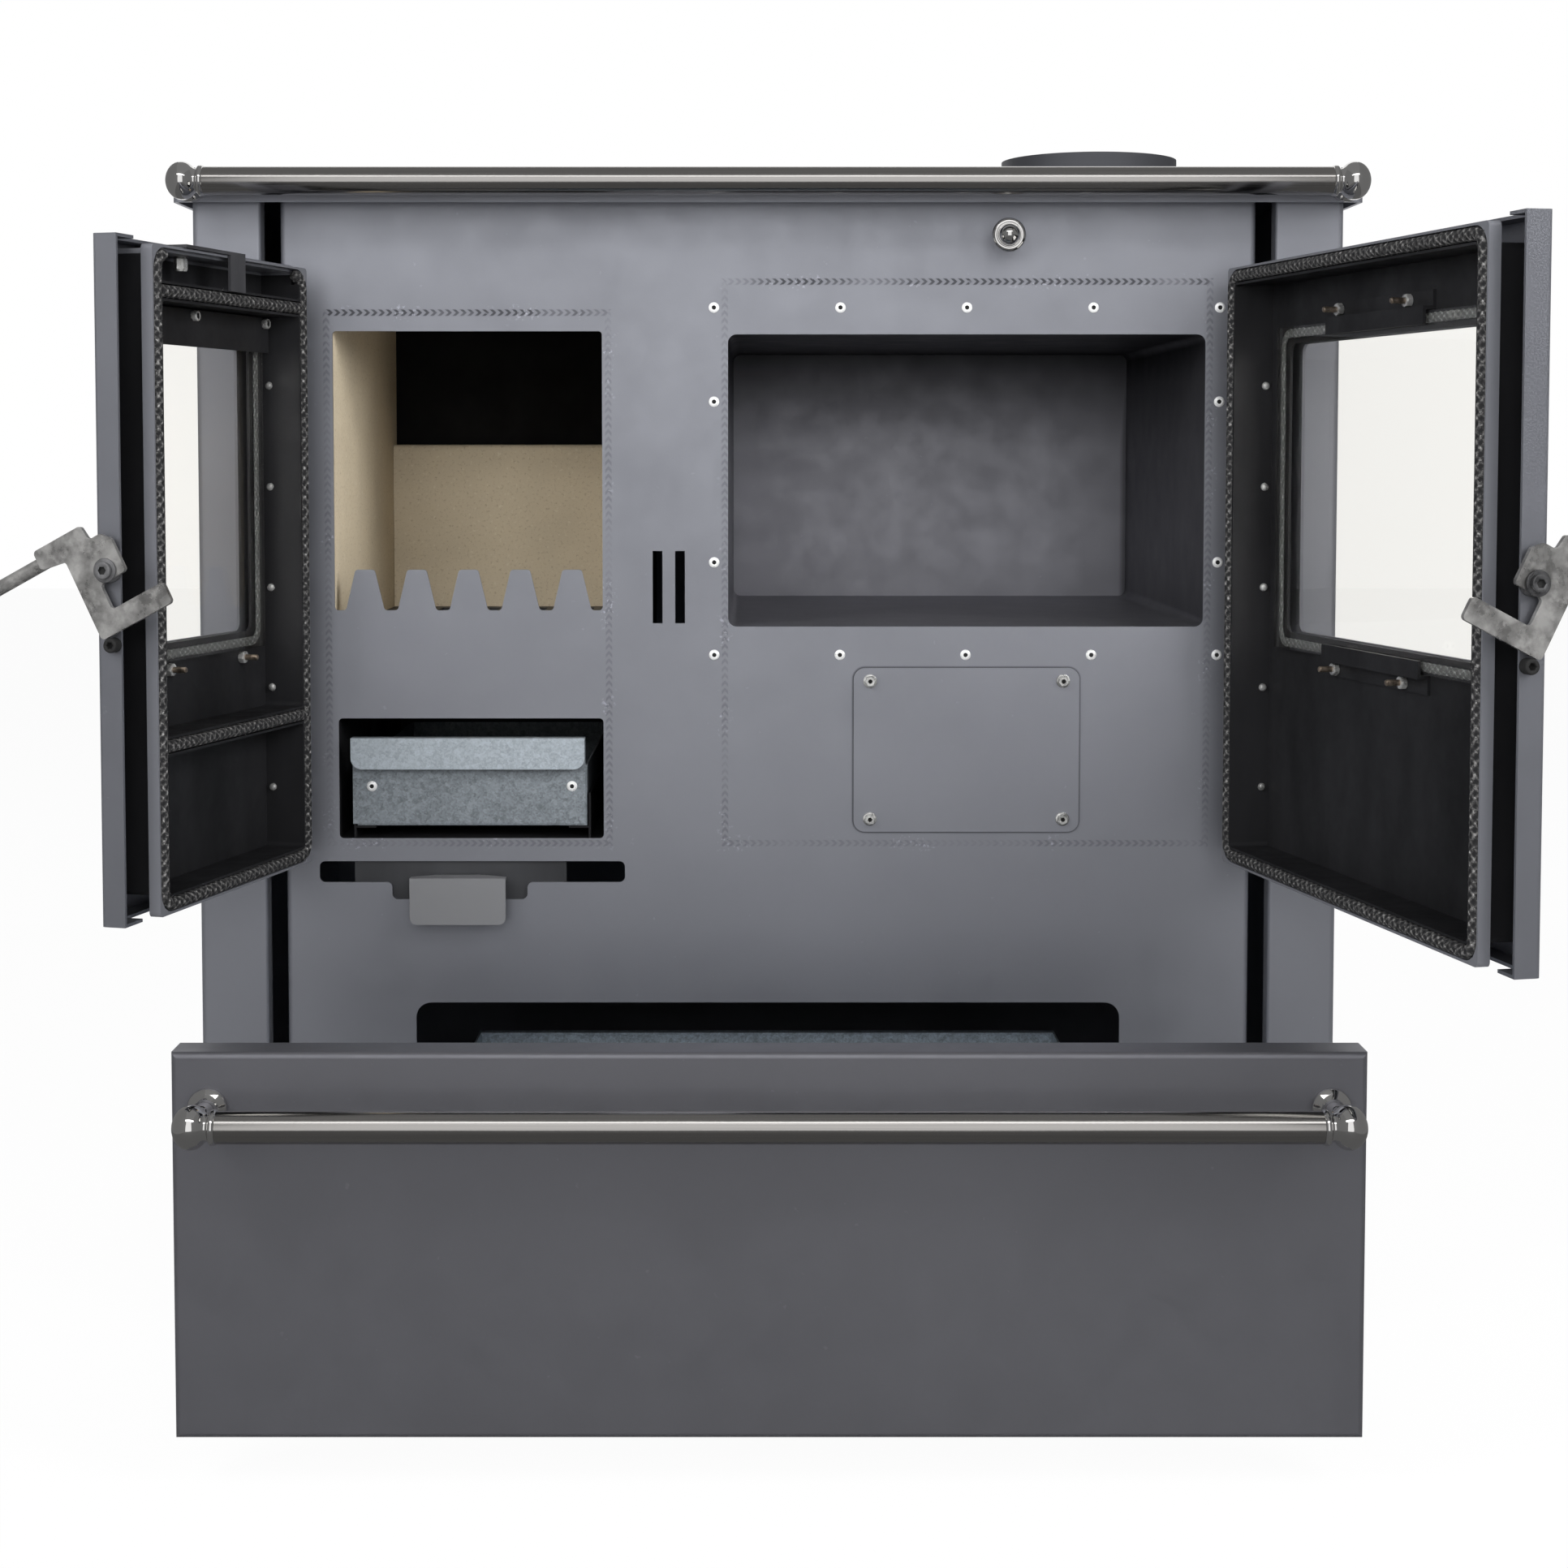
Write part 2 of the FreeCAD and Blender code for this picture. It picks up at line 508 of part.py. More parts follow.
def hob_lid():
    """The lift-out round lid with its slot for the lifting hook."""
    piece = Piece("hob_lid")
    base = "top_z + hob_lip_t - lid_t"
    disc = piece.sketch("XY", base)
    circle(disc, "lid_x", "lid_y", "lid_d / 2 - lid_gap")
    piece.pad(disc, "lid_t")
    plug = piece.sketch("XY", base)
    circle(plug, "lid_x", "lid_y", "lid_d / 2 - lid_step - lid_gap")
    piece.pad(plug, "lid_plug_t", reverse=True)
    slot = piece.sketch("XY", base + " + lid_t")
    rounded(slot, "lid_x - lid_slot_len / 2", "lid_y - lid_slot_w / 2", "lid_x + lid_slot_len / 2",
            "lid_y + lid_slot_w / 2", "lid_slot_w * 0.4")
    piece.pocket(slot, "lid_t")


def revolved(label, profile):
    """A PartDesign revolution about Z of (radius, height) expressions."""
    piece = Piece(label)
    section = piece.sketch("XZ")
    polygon(section, profile)
    made = piece.body.newObject("PartDesign::Revolution", label + "_revolution")
    made.Profile = section
    made.ReferenceAxis = (section, ["V_Axis"])
    made.Angle = 360
    piece.last = made
    return piece


def flue_collar():
    """The flue spigot with its bolted base flange."""
    bore = "flue_od / 2 - flue_wall"
    piece = revolved("flue_collar", [
        (bore, "0"), ("flue_flange_d / 2", "0"), ("flue_flange_d / 2", "flue_flange_t"),
        ("flue_od / 2", "flue_flange_t"), ("flue_od / 2", "flue_h"), (bore, "flue_h"),
    ])
    for axis, text in (("x", "flue_x"), ("y", "flue_y"), ("z", "top_z")):
        bind(piece.body, "Placement.Base." + axis, text)


def rail(label, length, height, front):
    """A round bar along X."""
    piece = Piece(label)
    section = piece.sketch("YZ", "-(%s) / 2" % length)
    circle(section, front, height, "rail_d / 2")
    piece.pad(section, length)


def rail_ends(label, length, height, front, wall):
    """Ball ends with a neck ring, each on a post with a round foot against the wall behind."""
    half = size("(%s) / 2" % length)
    y, z, foot = size(front), size(height), size(wall)
    r, w = size("ball_d / 2"), size("ball_w")
    neck_r, neck_w = size("ball_neck_d / 2"), size("ball_neck_w")
    bore = size("rail_d / 2")
    steps = 5
    arc = [math.pi * i / steps for i in range(1, steps)]
    ball = [(r * math.sin(a), w / 2 * (1 - math.cos(a))) for a in arc]
    ball = [(0, w)] + [(neck_r, w + neck_w), (neck_r, w)] + ball[::-1] + [(0, 0)]
    ball[0] = (0, w + neck_w)
    end = turned(ball)
    post_r = size("post_d / 2")
    out = y - foot
    post = Part.makeCylinder(post_r, abs(out), V(0, 0, 0), V(0, 1, 0))
    plate_t = size("post_foot_t")
    plate = Part.makeCylinder(size("post_foot_d / 2"), plate_t, V(0, abs(out) - plate_t, 0), V(0, 1, 0))
    solids = []
    for sign in (-1, 1):
        tip = V(sign * (half + w + neck_w), y, z)
        solid = aimed(end, tip, V(-sign, 0, 0))
        middle = V(sign * (half + neck_w + w / 2), y, z)
        for shape in (post, plate):
            moved = shape.copy()
            moved.translate(middle)
            solid = solid.fuse(moved)
        solids.append(solid.removeSplitter())
    group(label, solids)


# Firebox, ash chamber and oven


def firebox_shell():
    """Three steel walls with an inner ledge for the grate; the oven-side wall is lower."""
    piece = Piece("firebox_shell")
    x0, x1 = "fire_x0 - brick_t - fire_wall", "fire_x1 + brick_t + fire_wall"
    y0, y1 = ahead("-sheet"), ahead("-fire_deep - brick_t - fire_wall")
    ledge = "grate_top - grate_t - fire_wall"
    outer = piece.sketch("XY", ledge)
    rectangle(outer, x0, y0, x1, y1)
    piece.pad(outer, "fire_wall_top - (%s)" % ledge)
    inner = piece.sketch("XY", ledge + " + fire_wall")
    rectangle(inner, x0 + " + fire_wall", y0 + " - fire_wall", x1 + " - fire_wall", y1 + " - fire_wall")
    piece.pocket(inner, "fire_wall_top", reverse=True)
    drop = piece.sketch("XY", ledge)
    rectangle(drop, "fire_x0 + ledge_w", y0 + " - fire_wall", "fire_x1 - ledge_w",
              ahead("-fire_deep + ledge_w"))
    piece.pocket(drop, "2 * fire_wall", symmetric=True)
    sill = piece.sketch("XY", "smoke_sill")
    rectangle(sill, x1 + " - 2 * fire_wall", y0 + " - fire_wall", x1 + " + fire_wall", y1 + " - fire_wall")
    piece.pocket(sill, "fire_wall_top", reverse=True)


def firebricks():
    """Side bricks as a pair, and the back brick, with an eased front edge."""
    back_y = ahead("-fire_deep")
    front_y = ahead("-sheet - brick_gap")
    sides = []
    for inner, outward in (("fire_x0", -1), ("fire_x1", 1)):
        outer = "(%s) + %d * (brick_t - brick_gap)" % (inner, outward)
        low = V(min(size(inner), size(outer)), size(front_y), size("grate_top - grate_t"))
        length = size(back_y) - size(front_y) + size("brick_t - brick_gap")
        height = size("brick_side_top") - low.z
        solid = Part.makeBox(size("brick_t - brick_gap"), length, height, low)
        sides.append(solid)
    group("firebrick_sides", sides)
    back = block("firebrick_back", "fire_x0 + brick_gap", "fire_x1 - brick_gap", back_y,
                 back_y + " + brick_t - brick_gap", "grate_top - grate_t", "brick_back_top")
    edge_z, edge_y = size("brick_back_top"), size(back_y)
    back.fillet(span((None, edge_y, edge_z), (None, edge_y, edge_z)), "brick_r")


def fire_grate():
    """A cast grate: a rim with long slots between its bars."""
    piece = Piece("fire_grate")
    x0, x1 = "fire_x0 + grate_gap", "fire_x1 - grate_gap"
    y0, y1 = ahead("-sheet - grate_gap"), ahead("-fire_deep + grate_gap")
    base = piece.sketch("XY", "grate_top - grate_t")
    rectangle(base, x0, y0, x1, y1)
    piece.pad(base, "grate_t")
    pitch = "(grate_bar + grate_slot)"
    clear = size("fire_x1 - fire_x0 - 2 * grate_gap - 2 * grate_rim")
    count = int((clear + size("grate_bar")) // size(pitch))
    slots = piece.sketch("XY", "grate_top")
    middle = "(fire_x0 + fire_x1) / 2"
    for i in range(count):
        centre = "%s + %g * %s" % (middle, i - (count - 1) / 2, pitch)
        rectangle(slots, centre + " - grate_slot / 2", y0 + " + grate_rim", centre + " + grate_slot / 2",
                  y1 + " - grate_rim")
    piece.pocket(slots, "2 * grate_t")


def ash_chamber():
    """The chamber under the grate: floor, back and sides, open to the front and above."""
    piece = Piece("ash_chamber")
    wall = "ash_wall"
    y0, y1 = ahead("-sheet"), ahead("-fire_deep - brick_t")
    roof = "grate_top - grate_t - fire_wall"
    outer = piece.sketch("XY", "ash_z0 - " + wall)
    rectangle(outer, "ash_x0 - " + wall, y0, "ash_x1 + " + wall, y1)
    piece.pad(outer, "%s - ash_z0 + %s" % (roof, wall))
    inner = piece.sketch("XY", "ash_z0")
    rectangle(inner, "ash_x0", y0 + " - ash_wall", "ash_x1", y1 + " - ash_wall")
    piece.pocket(inner, roof, reverse=True)


def angle_runner(x_inner, outward, width, z0, height, thick, y0, y1):
    """One L-section runner: a floor strip and an upright edge on its outer side."""
    x, w, t, low = size(x_inner), size(width), size(thick), size(z0)
    length = size(y1) - size(y0)
    floor = Part.makeBox(w, length, t, V(min(x, x + outward * w), size(y0), low))
    wall_x = x + outward * w
    edge_x = wall_x - t if outward > 0 else wall_x
    edge = Part.makeBox(t, length, size(height), V(edge_x, size(y0), low))
    return floor.fuse(edge).removeSplitter()


def ash_runners():
    """Two upright strips on the chamber floor, each with a shelf that carries the ash drawer."""
    y0, length = size(ahead("-sheet - brick_gap")), size("fire_deep - sheet - brick_gap")
    t, ledge, gap = size("ash_wall"), size("ledge_w"), size("runner_gap")
    floor_z, shelf_z = size("ash_z0"), size("tray_z0 - bed_gap - ash_wall")
    runners = []
    for edge, outward in (("tray_x0", -1), ("tray_x1", 1)):
        wall_x = size(edge) + outward * gap
        wall = Part.makeBox(t, length, size("ash_runner_h"), V(min(wall_x, wall_x + outward * t), y0, floor_z))
        tip_x = wall_x - outward * ledge
        shelf = Part.makeBox(ledge, length, t, V(min(wall_x, tip_x), y0, shelf_z))
        runners.append(wall.fuse(shelf).removeSplitter())
    group("ash_runners", runners)


def ash_tray():
    """The galvanised ash drawer, open above."""
    piece = Piece("ash_tray")
    y0, y1 = ahead("-sheet"), ahead("-sheet - tray_len")
    outer = piece.sketch("XY", "tray_z0")
    rectangle(outer, "tray_x0", y0, "tray_x1", y1)
    piece.pad(outer, "tray_z1 - tray_z0")
    inner = piece.sketch("XY", "tray_z0 + tray_sheet")
    rectangle(inner, "tray_x0 + tray_sheet", y0 + " + tray_sheet", "tray_x1 - tray_sheet",
              y1 + " - tray_sheet")
    piece.pocket(inner, "tray_z1", reverse=True)


def ash_lip():
    """The bent grip strip riveted over the top of the ash drawer's front."""
    piece = Piece("ash_lip")
    x0, x1 = "tray_x0 - lip_over", "tray_x1 - lip_over / 3"
    front = ahead("lip_ahead")
    sheet_ = "tray_sheet"
    wall = ahead("-sheet")
    profile = piece.sketch("YZ", x0)
    low = "lip_z1 - lip_h"
    polygon(profile, [
        (front, low), (front + " + " + sheet_, low), (front + " + " + sheet_, "lip_z1 - " + sheet_),
        (wall + " - " + sheet_, "lip_z1 - " + sheet_), (wall + " - " + sheet_, "tray_z0 + " + sheet_),
        (wall, "tray_z0 + " + sheet_), (wall, "lip_z1"), (front, "lip_z1"),
    ])
    piece.pad(profile, "(%s) - (%s)" % (x1, x0))
    y = size(front)
    z = size(low)
    for x in (size(x0), size(x1)):
        piece.fillet(span((x, y, z), (x, None, z)), "lip_r")


def ash_rivets():
    """Two rivets through the drawer front."""
    head = flat_head(size("rivet_d"), size("rivet_h"))
    y = size(ahead("-sheet + tray_sheet"))
    z = size("ash_rivet_z")
    places = [size("tray_x0 + ash_rivet_in"), size("tray_x1 - ash_rivet_in")]
    group("ash_rivets", [aimed(head, V(x, y, z), V(0, -1, 0)) for x in places])


def oven_liner():
    """The oven box with the flange that is riveted behind the front panel."""
    piece = Piece("oven_liner")
    wall = "oven_wall"
    flange = piece.sketch("XZ", "body_depth / 2 - sheet - oven_wall")
    rounded(flange, "oven_x0 - oven_flange", "oven_z0 - oven_flange - rivet_down / 2",
            "oven_x1 + oven_flange", "oven_z1 + oven_flange + rivet_down / 2", "oven_r")
    piece.pad(flange, wall)
    box = piece.sketch("XZ", "body_depth / 2 - sheet - oven_wall")
    rounded(box, "oven_x0 - " + wall, "oven_z0 - " + wall, "oven_x1 + " + wall, "oven_z1 + " + wall,
            "oven_r + oven_wall")
    piece.pad(box, "oven_deep - sheet - oven_wall", reverse=True)
    hollow = piece.sketch("XZ", "body_depth / 2 - sheet")
    rounded(hollow, "oven_x0", "oven_z0", "oven_x1", "oven_z1", "oven_r")
    piece.pocket(hollow, "oven_deep - sheet - oven_wall")


def oven_rivets():
    """Fourteen blind rivets round the oven mouth."""
    head = flat_head(size("rivet_d"), size("rivet_h"))
    y = size(PANEL_Y)
    left, right = size("oven_x0 - rivet_out"), size("oven_x1 + rivet_out")
    rows = [size("oven_z1 + rivet_up"), size("oven_z0 - rivet_down")]
    per_row = 5
    places = [(left + (right - left) * i / (per_row - 1), z) for z in rows for i in range(per_row)]
    places += [(x, size(z)) for x in (left, right) for z in ("rivet_side_z0", "rivet_side_z1")]
    group("oven_rivets", [aimed(head, V(x, y, z), V(0, -1, 0)) for x, z in places])


def access_cover():
    """The inspection cover under the oven and its four screws."""
    piece = Piece("access_cover")
    outline = piece.sketch("XZ", "body_depth / 2")
    rounded(outline, "cover_x - cover_w / 2", "cover_z - cover_h / 2", "cover_x + cover_w / 2",
            "cover_z + cover_h / 2", "cover_r")
    piece.pad(outline, "sheet")
    head = hex_head(size("screw_d"), size("screw_h"))
    dx = size("cover_w / 2 - cover_screw_in_x")
    dz = size("cover_h / 2 - cover_screw_in_z")
    middle = V(size("cover_x"), size(ahead("sheet")), size("cover_z"))
    corners = [V(sx * dx, 0, sz * dz) for sx in (-1, 1) for sz in (-1, 1)]
    group("access_screws", [aimed(head, middle + c, V(0, -1, 0)) for c in corners])


# Slides: primary air and damper


def air_slide():
    """The air slide: a shutter behind the panel, a stem through the slot and a bent tab."""
    piece = Piece("air_slide")
    back = ahead("-sheet - air_gap")
    middle = "(air_z0 + air_z1) / 2"
    plate = piece.sketch("XZ", "body_depth / 2 - sheet - air_gap - sheet")
    rectangle(plate, "air_tab_x - air_plate_w / 2", middle + " - air_plate_h / 2",
              "air_tab_x + air_plate_w / 2", middle + " + air_plate_h / 2")
    piece.pad(plate, "sheet")
    front = ahead("air_tab_ahead + air_tab_t")
    shelf = piece.sketch("XY", "air_tab_z1 - air_tab_t")
    left, right = "air_tab_x - air_tab_w / 2", "air_tab_x + air_tab_w / 2"
    stem_left, stem_right = "air_tab_x - air_stem_w / 2", "air_tab_x + air_stem_w / 2"
    wide = front + " + air_shelf"
    narrow = wide + " + (air_tab_w - air_stem_w) / 4"
    polygon(shelf, [
        (left, front), (right, front), (right, wide), (stem_right, narrow), (stem_right, back),
        (stem_left, back), (stem_left, narrow), (left, wide),
    ])
    piece.pad(shelf, "air_tab_t")
    tab = piece.sketch("XZ", "body_depth / 2 + air_tab_ahead")
    rectangle(tab, left, "air_tab_z0", right, "air_tab_z1")
    piece.pad(tab, "air_tab_t")
    y, z, half = size(front), size("air_tab_z0"), size("air_tab_w / 2")
    for x in (size("air_tab_x") - half, size("air_tab_x") + half):
        piece.fillet(span((x, y, z), (x, None, z)), "air_tab_r")


def damper():
    """The damper pull: rod through the panel, ball knob with a ring, flap inside."""
    rod = Piece("damper_rod")
    section = rod.sketch("XZ", "body_depth / 2 - damper_in")
    circle(section, "damper_x", "damper_z", "damper_rod_d / 2")
    rod.pad(section, "damper_in + damper_knob_ahead - damper_knob_d / 2")
    r, ball_r = size("damper_knob_d / 2"), size("knob_ball_d / 2")
    neck, edge, thick = size("damper_rod_d / 2 + 2 * sheet"), size("knob_edge"), size("knob_ring_t")
    low = 2 * r - ball_r - thick
    ring = [(neck, low), (r - edge, low), (r, low + edge), (r, low + thick - edge), (r - edge, low + thick)]
    steps = 5
    angles = [math.pi / 2 * i / steps for i in range(steps)]
    ball = [(ball_r * math.cos(a), low + thick + ball_r * math.sin(a)) for a in angles]
    knob = turned([(0, 0), (neck, 0)] + ring + ball + [(0, 2 * r)])
    place = V(size("damper_x"), size(ahead("damper_knob_ahead - damper_knob_d / 2")), size("damper_z"))
    group("damper_knob", [aimed(knob, place, V(0, -1, 0))])
    flap = Piece("damper_plate")
    outline = flap.sketch("XZ", "body_depth / 2 - damper_in - sheet")
    rounded(outline, "damper_x - damper_plate_w / 2", "damper_z - damper_plate_h / 2",
            "damper_x + damper_plate_w / 2", "damper_z + damper_plate_h / 2", "bend_r")
    flap.pad(outline, "sheet")


# Wood drawer


def drawer_front():
    """The drawer's front: a shallow folded pan open to the rear."""
    piece = Piece("drawer_front")
    half = "(drawer_w / 2)"
    outline = piece.sketch("XZ", "body_depth / 2 + drawer_ahead - drawer_flange")
    rectangle(outline, "-" + half, "drawer_z0", half, "drawer_z0 + drawer_h")
    piece.pad(outline, "drawer_flange")
    y = size(ahead("drawer_ahead"))
    piece.fillet(span((None, y, None), (None, y, None)), "drawer_bend_r")
    inner = piece.sketch("XZ", "body_depth / 2 + drawer_ahead - sheet")
    rectangle(inner, "-%s + sheet" % half, "drawer_z0 + sheet", half + " - sheet",
              "drawer_z0 + drawer_h - sheet")
    piece.pocket(inner, "drawer_flange")


def drawer_box():
    """The galvanised wood box behind the drawer front, with a folded rear hem."""
    piece = Piece("drawer_box")
    half = "(box_w / 2)"
    y0 = ahead("drawer_ahead - sheet")
    y1 = y0 + " + box_len"
    outer = piece.sketch("XY", "box_z0")
    rectangle(outer, "-" + half, y0, half, y1)
    piece.pad(outer, "box_z1 - box_z0")
    inner = piece.sketch("XY", "box_z0 + box_sheet")
    rectangle(inner, "-%s + box_sheet" % half, y0 + " + box_sheet", half + " - box_sheet",
              y1 + " - box_sheet")
    piece.pocket(inner, "box_z1", reverse=True)
    hem = piece.sketch("XY", "box_z1 - box_sheet")
    rectangle(hem, "-" + half, y1 + " - box_hem", half, y1)
    piece.pad(hem, "box_sheet")


def drawer_runners():
    """Two angle runners on the plinth that carry the wood drawer."""
    y0, y1 = ahead("-sheet - panel_bend"), "body_depth / 2 - back_gap"
    runners = []
    for sign in (-1, 1):
        inner = "%d * (box_w / 2 + runner_gap + sheet - runner_w)" % sign
        runner = angle_runner(inner, sign, "runner_w", "plinth_h", "box_z0 - plinth_h + runner_h", "sheet",
                              y0, y1)
        bed_x = size(inner) if sign > 0 else size(inner) - size("runner_w - sheet")
        bed = Part.makeBox(size("runner_w - sheet"), size(y1) - size(y0),
                           size("box_z0 - plinth_h - bed_gap"), V(bed_x, size(y0), size("plinth_h")))
        runners.append(runner.fuse(bed).removeSplitter())
    group("drawer_runners", runners)


# Doors, built about their hinge axis as if shut


class Door:
    """The sizes and the swing of one door: u runs from the hinge axis to the free edge."""

    def __init__(self, name, sign, width, gasket_free, window, turn):
        self.name = name
        self.sign = sign
        self.free = "(%s - door_over)" % width
        self.rope = ("(gasket_hinge - door_over)", "(%s - %s)" % (self.free, gasket_free))
        self.rope_z = ("(door_z0 + gasket_low)", "(door_z1 - gasket_top)")
        self.window = window
        place = V(-sign * size("hinge_x"), size(ahead("hinge_ahead")), 0)
        self.swing = FreeCAD.Placement(place, FreeCAD.Rotation(V(0, 0, 1), -sign * size(turn)))

    def u(self, text):
        return "%d * (%s)" % (self.sign, text)

    def level(self, text):
        """Sketch height of a plane this far ahead of the panel, on the door's own XZ plane."""
        return "(%s) - hinge_ahead" % text

    def piece(self, part):
        made = Piece(self.name + "_" + part)
        made.body.Placement = self.swing
        return made

    def solids(self, part, shapes):
        made = group(self.name + "_" + part, shapes)
        made.Placement = self.swing
        return made

    def point(self, u, lead, z):
        return V(size(self.u(u)), size("hinge_ahead - (%s)" % lead), size(z))

    def frame_box(self, sketch, grow, radius):
        """The gasket line grown outwards by a distance."""
        u0, u1 = self.rope
        z0, z1 = self.rope_z
        rounded(sketch, self.u("%s - (%s)" % (u0, grow)), "%s - (%s)" % (z0, grow),
                self.u("%s + (%s)" % (u1, grow)), "%s + (%s)" % (z1, grow), radius)


CHANNEL = "(rope_d / 2 + rope_gap)"
ROPE_AHEAD = "(rope_gap + rope_d / 2)"
CHANNEL_FLOOR = "(2 * rope_gap + rope_d)"


def door_shell(door):
    """The outer pan of a door: face, bevelled free edge, return flanges, window and hinge notches."""
    piece = door.piece("shell")

    def at(u, lead):
        return door.u(u), "hinge_ahead - (%s)" % lead

    rim, edge_back = "door_ahead - shell_depth", "edge_ahead - shell_depth"
    bevel = door.free + " - bevel_w"
    step = "%s + %s + frame_wall + edge_gap" % (door.rope[1], CHANNEL)
    outline = piece.sketch("XY", "door_z0")
    polygon(outline, [
        at("-door_over", rim), at("-door_over", "door_ahead"), at(bevel, "door_ahead"),
        at(door.free, "edge_ahead"), at(door.free, edge_back), at(step, edge_back), at(step, rim),
    ])
    piece.pad(outline, "door_z1 - door_z0")
    for corner in (at("-door_over", "door_ahead"), at(door.free, "edge_ahead")):
        x, y = (size(text) for text in corner)
        piece.fillet(span((x, y, None), (x, y, None)), "door_edge_r")
    inside, thin = "door_ahead - door_sheet", door.free + " - door_sheet"
    slope = "(door_ahead - edge_ahead) / bevel_w"
    inner = piece.sketch("XY", "door_z0 + door_sheet")
    polygon(inner, [
        at("-door_over + door_sheet", edge_back + " - door_sheet"), at("-door_over + door_sheet", inside),
        at(bevel, inside), at(thin, "edge_ahead - door_sheet + door_sheet * " + slope),
        at(thin, edge_back + " - door_sheet"),
    ])
    piece.pocket(inner, "door_z1 - door_z0 - 2 * door_sheet", reverse=True)
    window = piece.sketch("XZ", door.level("door_ahead"))
    u0, u1 = door.window
    rounded(window, door.u(u0), "window_z0", door.u(u1), "window_z1", "window_r")
    piece.pocket(window, "2 * door_sheet", symmetric=True)
    for ear in ("ear_lo_z", "ear_hi_z"):
        notch = piece.sketch("XZ", door.level(rim))
        rectangle(notch, door.u("-door_over - door_sheet"), ear + " - ear_t - notch_clear",
                  door.u("-door_over + 2 * door_sheet"), ear + " + 2 * ear_t + notch_clear")
        piece.pocket(notch, "notch_deep", reverse=True)


def door_frame(door, cross_ropes=()):
    """The inner tray with its rope channel round the rear edge and the skin that carries the glass."""
    piece = door.piece("frame")
    wall = "frame_wall"
    reach = CHANNEL + " + " + wall
    rim = piece.sketch("XZ", door.level("frame_lip"))
    door.frame_box(rim, reach, "frame_r")
    piece.pad(rim, "%s + %s - frame_lip" % (CHANNEL_FLOOR, wall))

    u0, u1 = door.rope
    half = "(%s + %s)" % (CHANNEL, wall)
    top = door.rope_z[1]
    if cross_ropes:
        top = "(%s + 2 * %s)" % (top, CHANNEL)

    def tray(inset, low=door.rope_z[0], high=top):
        return (door.u("%s + %s" % (u0, inset)), "%s + %s" % (low, inset), door.u("%s - %s" % (u1, inset)),
                "%s - %s" % (high, inset), "rope_r - " + inset)

    box = piece.sketch("XZ", door.level("frame_lip"))
    rounded(box, *tray(CHANNEL))
    piece.pad(box, "door_ahead - door_sheet - frame_lip")

    channel = piece.sketch("XZ", door.level(CHANNEL_FLOOR))
    door.frame_box(channel, CHANNEL, "rope_r + " + CHANNEL)
    door.frame_box(channel, "-" + CHANNEL, "rope_r - " + CHANNEL)
    piece.pocket(channel, CHANNEL_FLOOR)

    lows = [door.rope_z[0]] + list(cross_ropes)
    highs = list(cross_ropes) + [top]
    inside = piece.sketch("XZ", door.level("skin_ahead"))
    for low, high in zip(lows, highs):
        rounded(inside, *tray(half, low, high))
    piece.pocket(inside, "skin_ahead")

    if cross_ropes:
        grooves = piece.sketch("XZ", door.level(CHANNEL_FLOOR))
        for z in cross_ropes:
            rectangle(grooves, door.u("%s + %s" % (u0, CHANNEL)), "%s - %s" % (z, CHANNEL),
                      door.u("%s - %s" % (u1, CHANNEL)), "%s + %s" % (z, CHANNEL))
        piece.pocket(grooves, CHANNEL_FLOOR)

    front = piece.sketch("XZ", door.level("door_ahead - door_sheet"))
    rounded(front, *tray(half))
    piece.pocket(front, "door_ahead - door_sheet - skin_ahead - skin")

    window = piece.sketch("XZ", door.level("skin_ahead + skin"))
    w0, w1 = door.window
    rounded(window, door.u(w0), "window_z0", door.u(w1), "window_z1", "window_r")
    piece.pocket(window, "2 * skin")


def door_gasket(door, closed):
    """The rope seal in the frame's channel: straight runs and quarter bends, open along the top if not closed."""
    u0, u1 = sorted(size(end) * door.sign for end in door.rope)
    z0, z1 = (size(end) for end in door.rope_z)
    y = size("hinge_ahead - " + ROPE_AHEAD)
    bend, thick = size("rope_r"), size("rope_d / 2")
    corners = [(-1, 1), (-1, -1), (1, -1), (1, 1)]
    solids = []
    for i, (su, sz) in enumerate(corners):
        at = V((u1 if su > 0 else u0) - su * bend, y, (z1 if sz > 0 else z0) - sz * bend)
        out, up = V(su, 0, 0), V(0, 0, sz)
        begin, along = (out, up) if su == sz else (up, out)
        ring = Part.Face(Part.Wire(Part.makeCircle(thick, at + begin * bend, along)))
        solids.append(ring.revolve(at, V(0, -1, 0), 90))
        if closed or i:
            run = (z1 - z0 if su == sz else u1 - u0) - 2 * bend
            solids.append(ring.extrude(along * -run))
    door.solids("gasket", [solids[0].multiFuse(solids[1:]).removeSplitter()])


def cross_ropes(door, heights):
    """Straight ropes across the firebox door, above the glass and above the ash opening."""
    r = size("rope_d / 2")
    gap = size("rope_d / 2 + rope_gap")
    u0, u1 = (size(t) for t in door.rope)
    length = u1 - u0 - 2 * gap
    solids = []
    for z in heights:
        place = door.point("%s" % (u0 + gap), ROPE_AHEAD, z)
        solids.append(Part.makeCylinder(r, length, place, V(door.sign, 0, 0)))
    door.solids("cross_ropes", solids)


